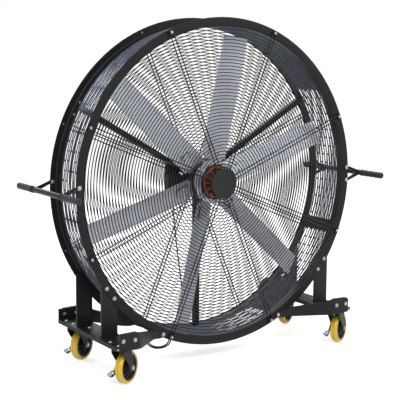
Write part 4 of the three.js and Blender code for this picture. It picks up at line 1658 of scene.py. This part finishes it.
@dataclass
class Caster:
    """One braked swivel caster, drawn about its swivel axis and then turned and moved."""

    name: str
    x: float
    y: float
    turn: float = 28.5
    trail: float = 0.042
    axle: float = 0.0740766
    half_tread: float = 0.018
    spokes: int = 10
    top: float = 0.1847
    plate_sheet: float = 0.006
    leg_face: float = 0.031
    leg_sheet: float = 0.0045
    pedal_pivot: tuple[float, float] = (25.0, 92.0)

    def piece(self, name: str, surface: Surface, finish: Finish, node: str = "", body: str = "",
              bevel: float = 0.0, segments: int = 2) -> None:
        """Shows one of the caster's pieces.

        Args:
            name: Its name without the caster's.
            surface: Its shape, about the swivel axis.
            finish: Its finish.
            node: The node that it stands for, without the caster's name.
            body: "swivel", "wheel" or "brake", or nothing for a piece that is fixed and isn't turned.
            bevel: Width of its rounded edges.
            segments: Steps of a rounded edge.
        """
        place = Matrix.Translation((self.x, self.y, 0.0))
        if body:
            place = place @ Matrix.Rotation(math.radians(self.turn), 4, "Z")
        own_node, own_body = (f"{self.name}_{part}" if part else "" for part in (node, body))
        show(f"{self.name}_{name}", surface.moved(place), finish, own_node, own_body or "frame", bevel,
             segments=segments)

    def plate(self) -> None:
        """Top plate with its race and four nuts."""
        low = self.top - self.plate_sheet
        outline = rounded(oblong(mm(-44, -46), mm(44, 46)), 0.008, 5)
        plate = Surface().prism(outline, low, self.top, "z")
        self.piece("top_plate", plate, BASE_PAINT, "caster_plate", bevel=0.0008)
        race = mm([0, -19], [24, -19], [29, -16], [29, -11], [26, -8], [30.5, -5.8], [0, -5.8])
        self.piece("race", Surface().turned(rounded(race, 0.001, 2, False), Z * self.top, Z, 48), DARK_ZINC)
        spots = np.array([[x, y, low] for x, y in CASTER_BOLTS])
        self.piece("plate_nuts", Surface().copies(fastener(Head.HEX, 7.5, 6.0, 9.0), spots, -Z), ZINC)

    def fork(self) -> None:
        """Pressed fork: two tapered legs that hang from a domed top, and the axle."""
        surface, face = Surface(), self.leg_face
        leg = rounded(mm([-30, 165], [36, 165], [47, 120], [56, 84], [55, 66], [48, 59], [36, 59], [29, 66],
                         [2, 110], [-30, 150]), 0.006, 5)
        for low in (-face, face - self.leg_sheet):
            surface.prism(leg, low, low + self.leg_sheet, "y")
        crown = rounded(mm([-31, 159.6], [-33, 165.3], [37, 165.3], [39, 159.6]), 0.003)
        self.piece("fork_legs", surface.prism(crown, -face, face, "y"), PAINT, "fork", "swivel", 0.0012, 3)
        centre, ways = np.array([self.trail, 0.0, self.axle]), np.array([-Y, Y])
        bolts = Surface().copies(fastener(Head.HEX, 10.0, 6.2, 11.8), centre + face * ways, ways)
        bolts.turned(mm([0, -35.5], [5.8, -35.5], [5.8, 35.5], [0, 35.5]), centre, Y, 20)
        self.piece("axle", bolts, ZINC, "", "swivel")

    def wheel(self) -> None:
        """Cast tyre on a ribbed core."""
        centre, half, radius = np.array([self.trail, 0.0, self.axle]), self.half_tread, self.axle - 0.0001
        y = half * np.sin(np.linspace(-1, 1, 25) * math.pi / 2)
        crown = np.stack([radius - 0.0062 * np.abs(y / half) ** 3.2, y], -1)
        inside = [[0.0603, 0.0172], [0.0603, -0.0172], [0.0640, -half]]
        tyre = Surface().turned(np.concatenate([inside, crown, [[0.0640, half]]])[::-1], centre, Y, 72)
        spread = np.abs(np.concatenate(tyre.points) - centre) @ Y / half
        tyre.corners = [np.stack([spread[face], np.zeros(face.shape)], -1) for face in tyre.faces]
        self.piece("tyre", tyre, TREAD, "tread", "wheel")
        web = mm(
            [6.7, -24], [14.5, -24], [16, -22.5], [17, -7], [50, -6], [52, -16], [54, -17.2], [59.9, -17.2],
            [59.9, 17.2], [54, 17.2], [52, 16], [50, 6], [17, 7], [16, 22.5], [14.5, 24], [6.7, 24],
        )
        core = Surface().turned(rounded(web, 0.001, 2), centre, Y, 60)
        rib = Surface().prism(mm([14, -19], [52, -14], [52, 14], [14, 19]), -0.0016, 0.0016, "z")
        for k in range(self.spokes):
            core.join(rib.moved(Matrix.Translation(centre) @ Matrix.Rotation(TURN * k / self.spokes, 4, "Y")))
        self.piece("ribbed_core", core, CORE, "wheel_core", "wheel")

    def pedal(self) -> None:
        """Brake pedal: a lever on the far leg, a foot tab that curves down outwards, and a rubber shoe.

        The tab's middle line is the cubic curve (1-t)^3 a + 3 t (1-t)^2 b + 3 t^2 (1-t) c + t^3 d.
        """
        x, z = self.pedal_pivot
        lever = mm([x + 8, z + 4], [x + 3, z + 9], [x - 4, z + 8], [-4, 74], [-9, 66], [-9, 44], [0, 44],
                   [3, 58], [x + 6, z - 7])
        surface = Surface().prism(rounded(lever, 0.004), 0.0314, 0.0346, "y")
        a, b, c, d = mm([31.6, 64.3], [47.5, 64.0], [54.3, 54.0], [54.3, 44.6])
        t = np.linspace(0, 1, 14)[:, None]
        arch = (1 - t) ** 3 * a + 3 * t * (1 - t) ** 2 * b + 3 * t**2 * (1 - t) * c + t**3 * d
        strip = rounded(oblong(mm(-12, -1.5), mm(12, 1.5)), 0.0008, 3)
        surface.swept(np.insert(arch, 0, -0.016, axis=1), strip, X)
        surface.prism(np.concatenate([arch, [[0.0318, 0.0446]]]), -0.0278, -0.0256, "x")
        pin = mm([0, 31.2], [5, 31.2], [5, 36.2], [4, 37], [0, 37])
        surface.turned(pin, mm(x, 0.0, z), Y, 20)
        self.piece("brake_pedal", surface, PEDAL_ZINC, "pedal", "brake")
        block = rounded(mm([33, 38], [45, 38], [47, 41], [47, 49], [33, 49]), 0.002, 3)
        self.piece("brake_shoe", Surface().prism(block, -0.0250, -0.0080, "x"), PLASTIC, "", "brake", 0.0008)

    def build(self) -> None:
        """Makes the caster's pieces."""
        self.plate()
        self.fork()
        self.wheel()
        self.pedal()


# ---- everything ----------------------------------------------------------------------------------


def main() -> None:
    """Builds the studio and then the fan, piece by piece."""
    logging.basicConfig(level=logging.INFO, format="%(name)s: %(message)s")
    Studio().build()
    MainsLead().build()
    Drum().build()
    Rotor().build()
    MotorFrame().build()
    Handles().build()
    Base().build()
    for name, side in SIDES.items():
        for end, y in CASTER_ROWS.items():
            Caster(f"{name}_{end}", side * CASTER_COLUMN, y).build()


if __name__ == "__main__":
    main()
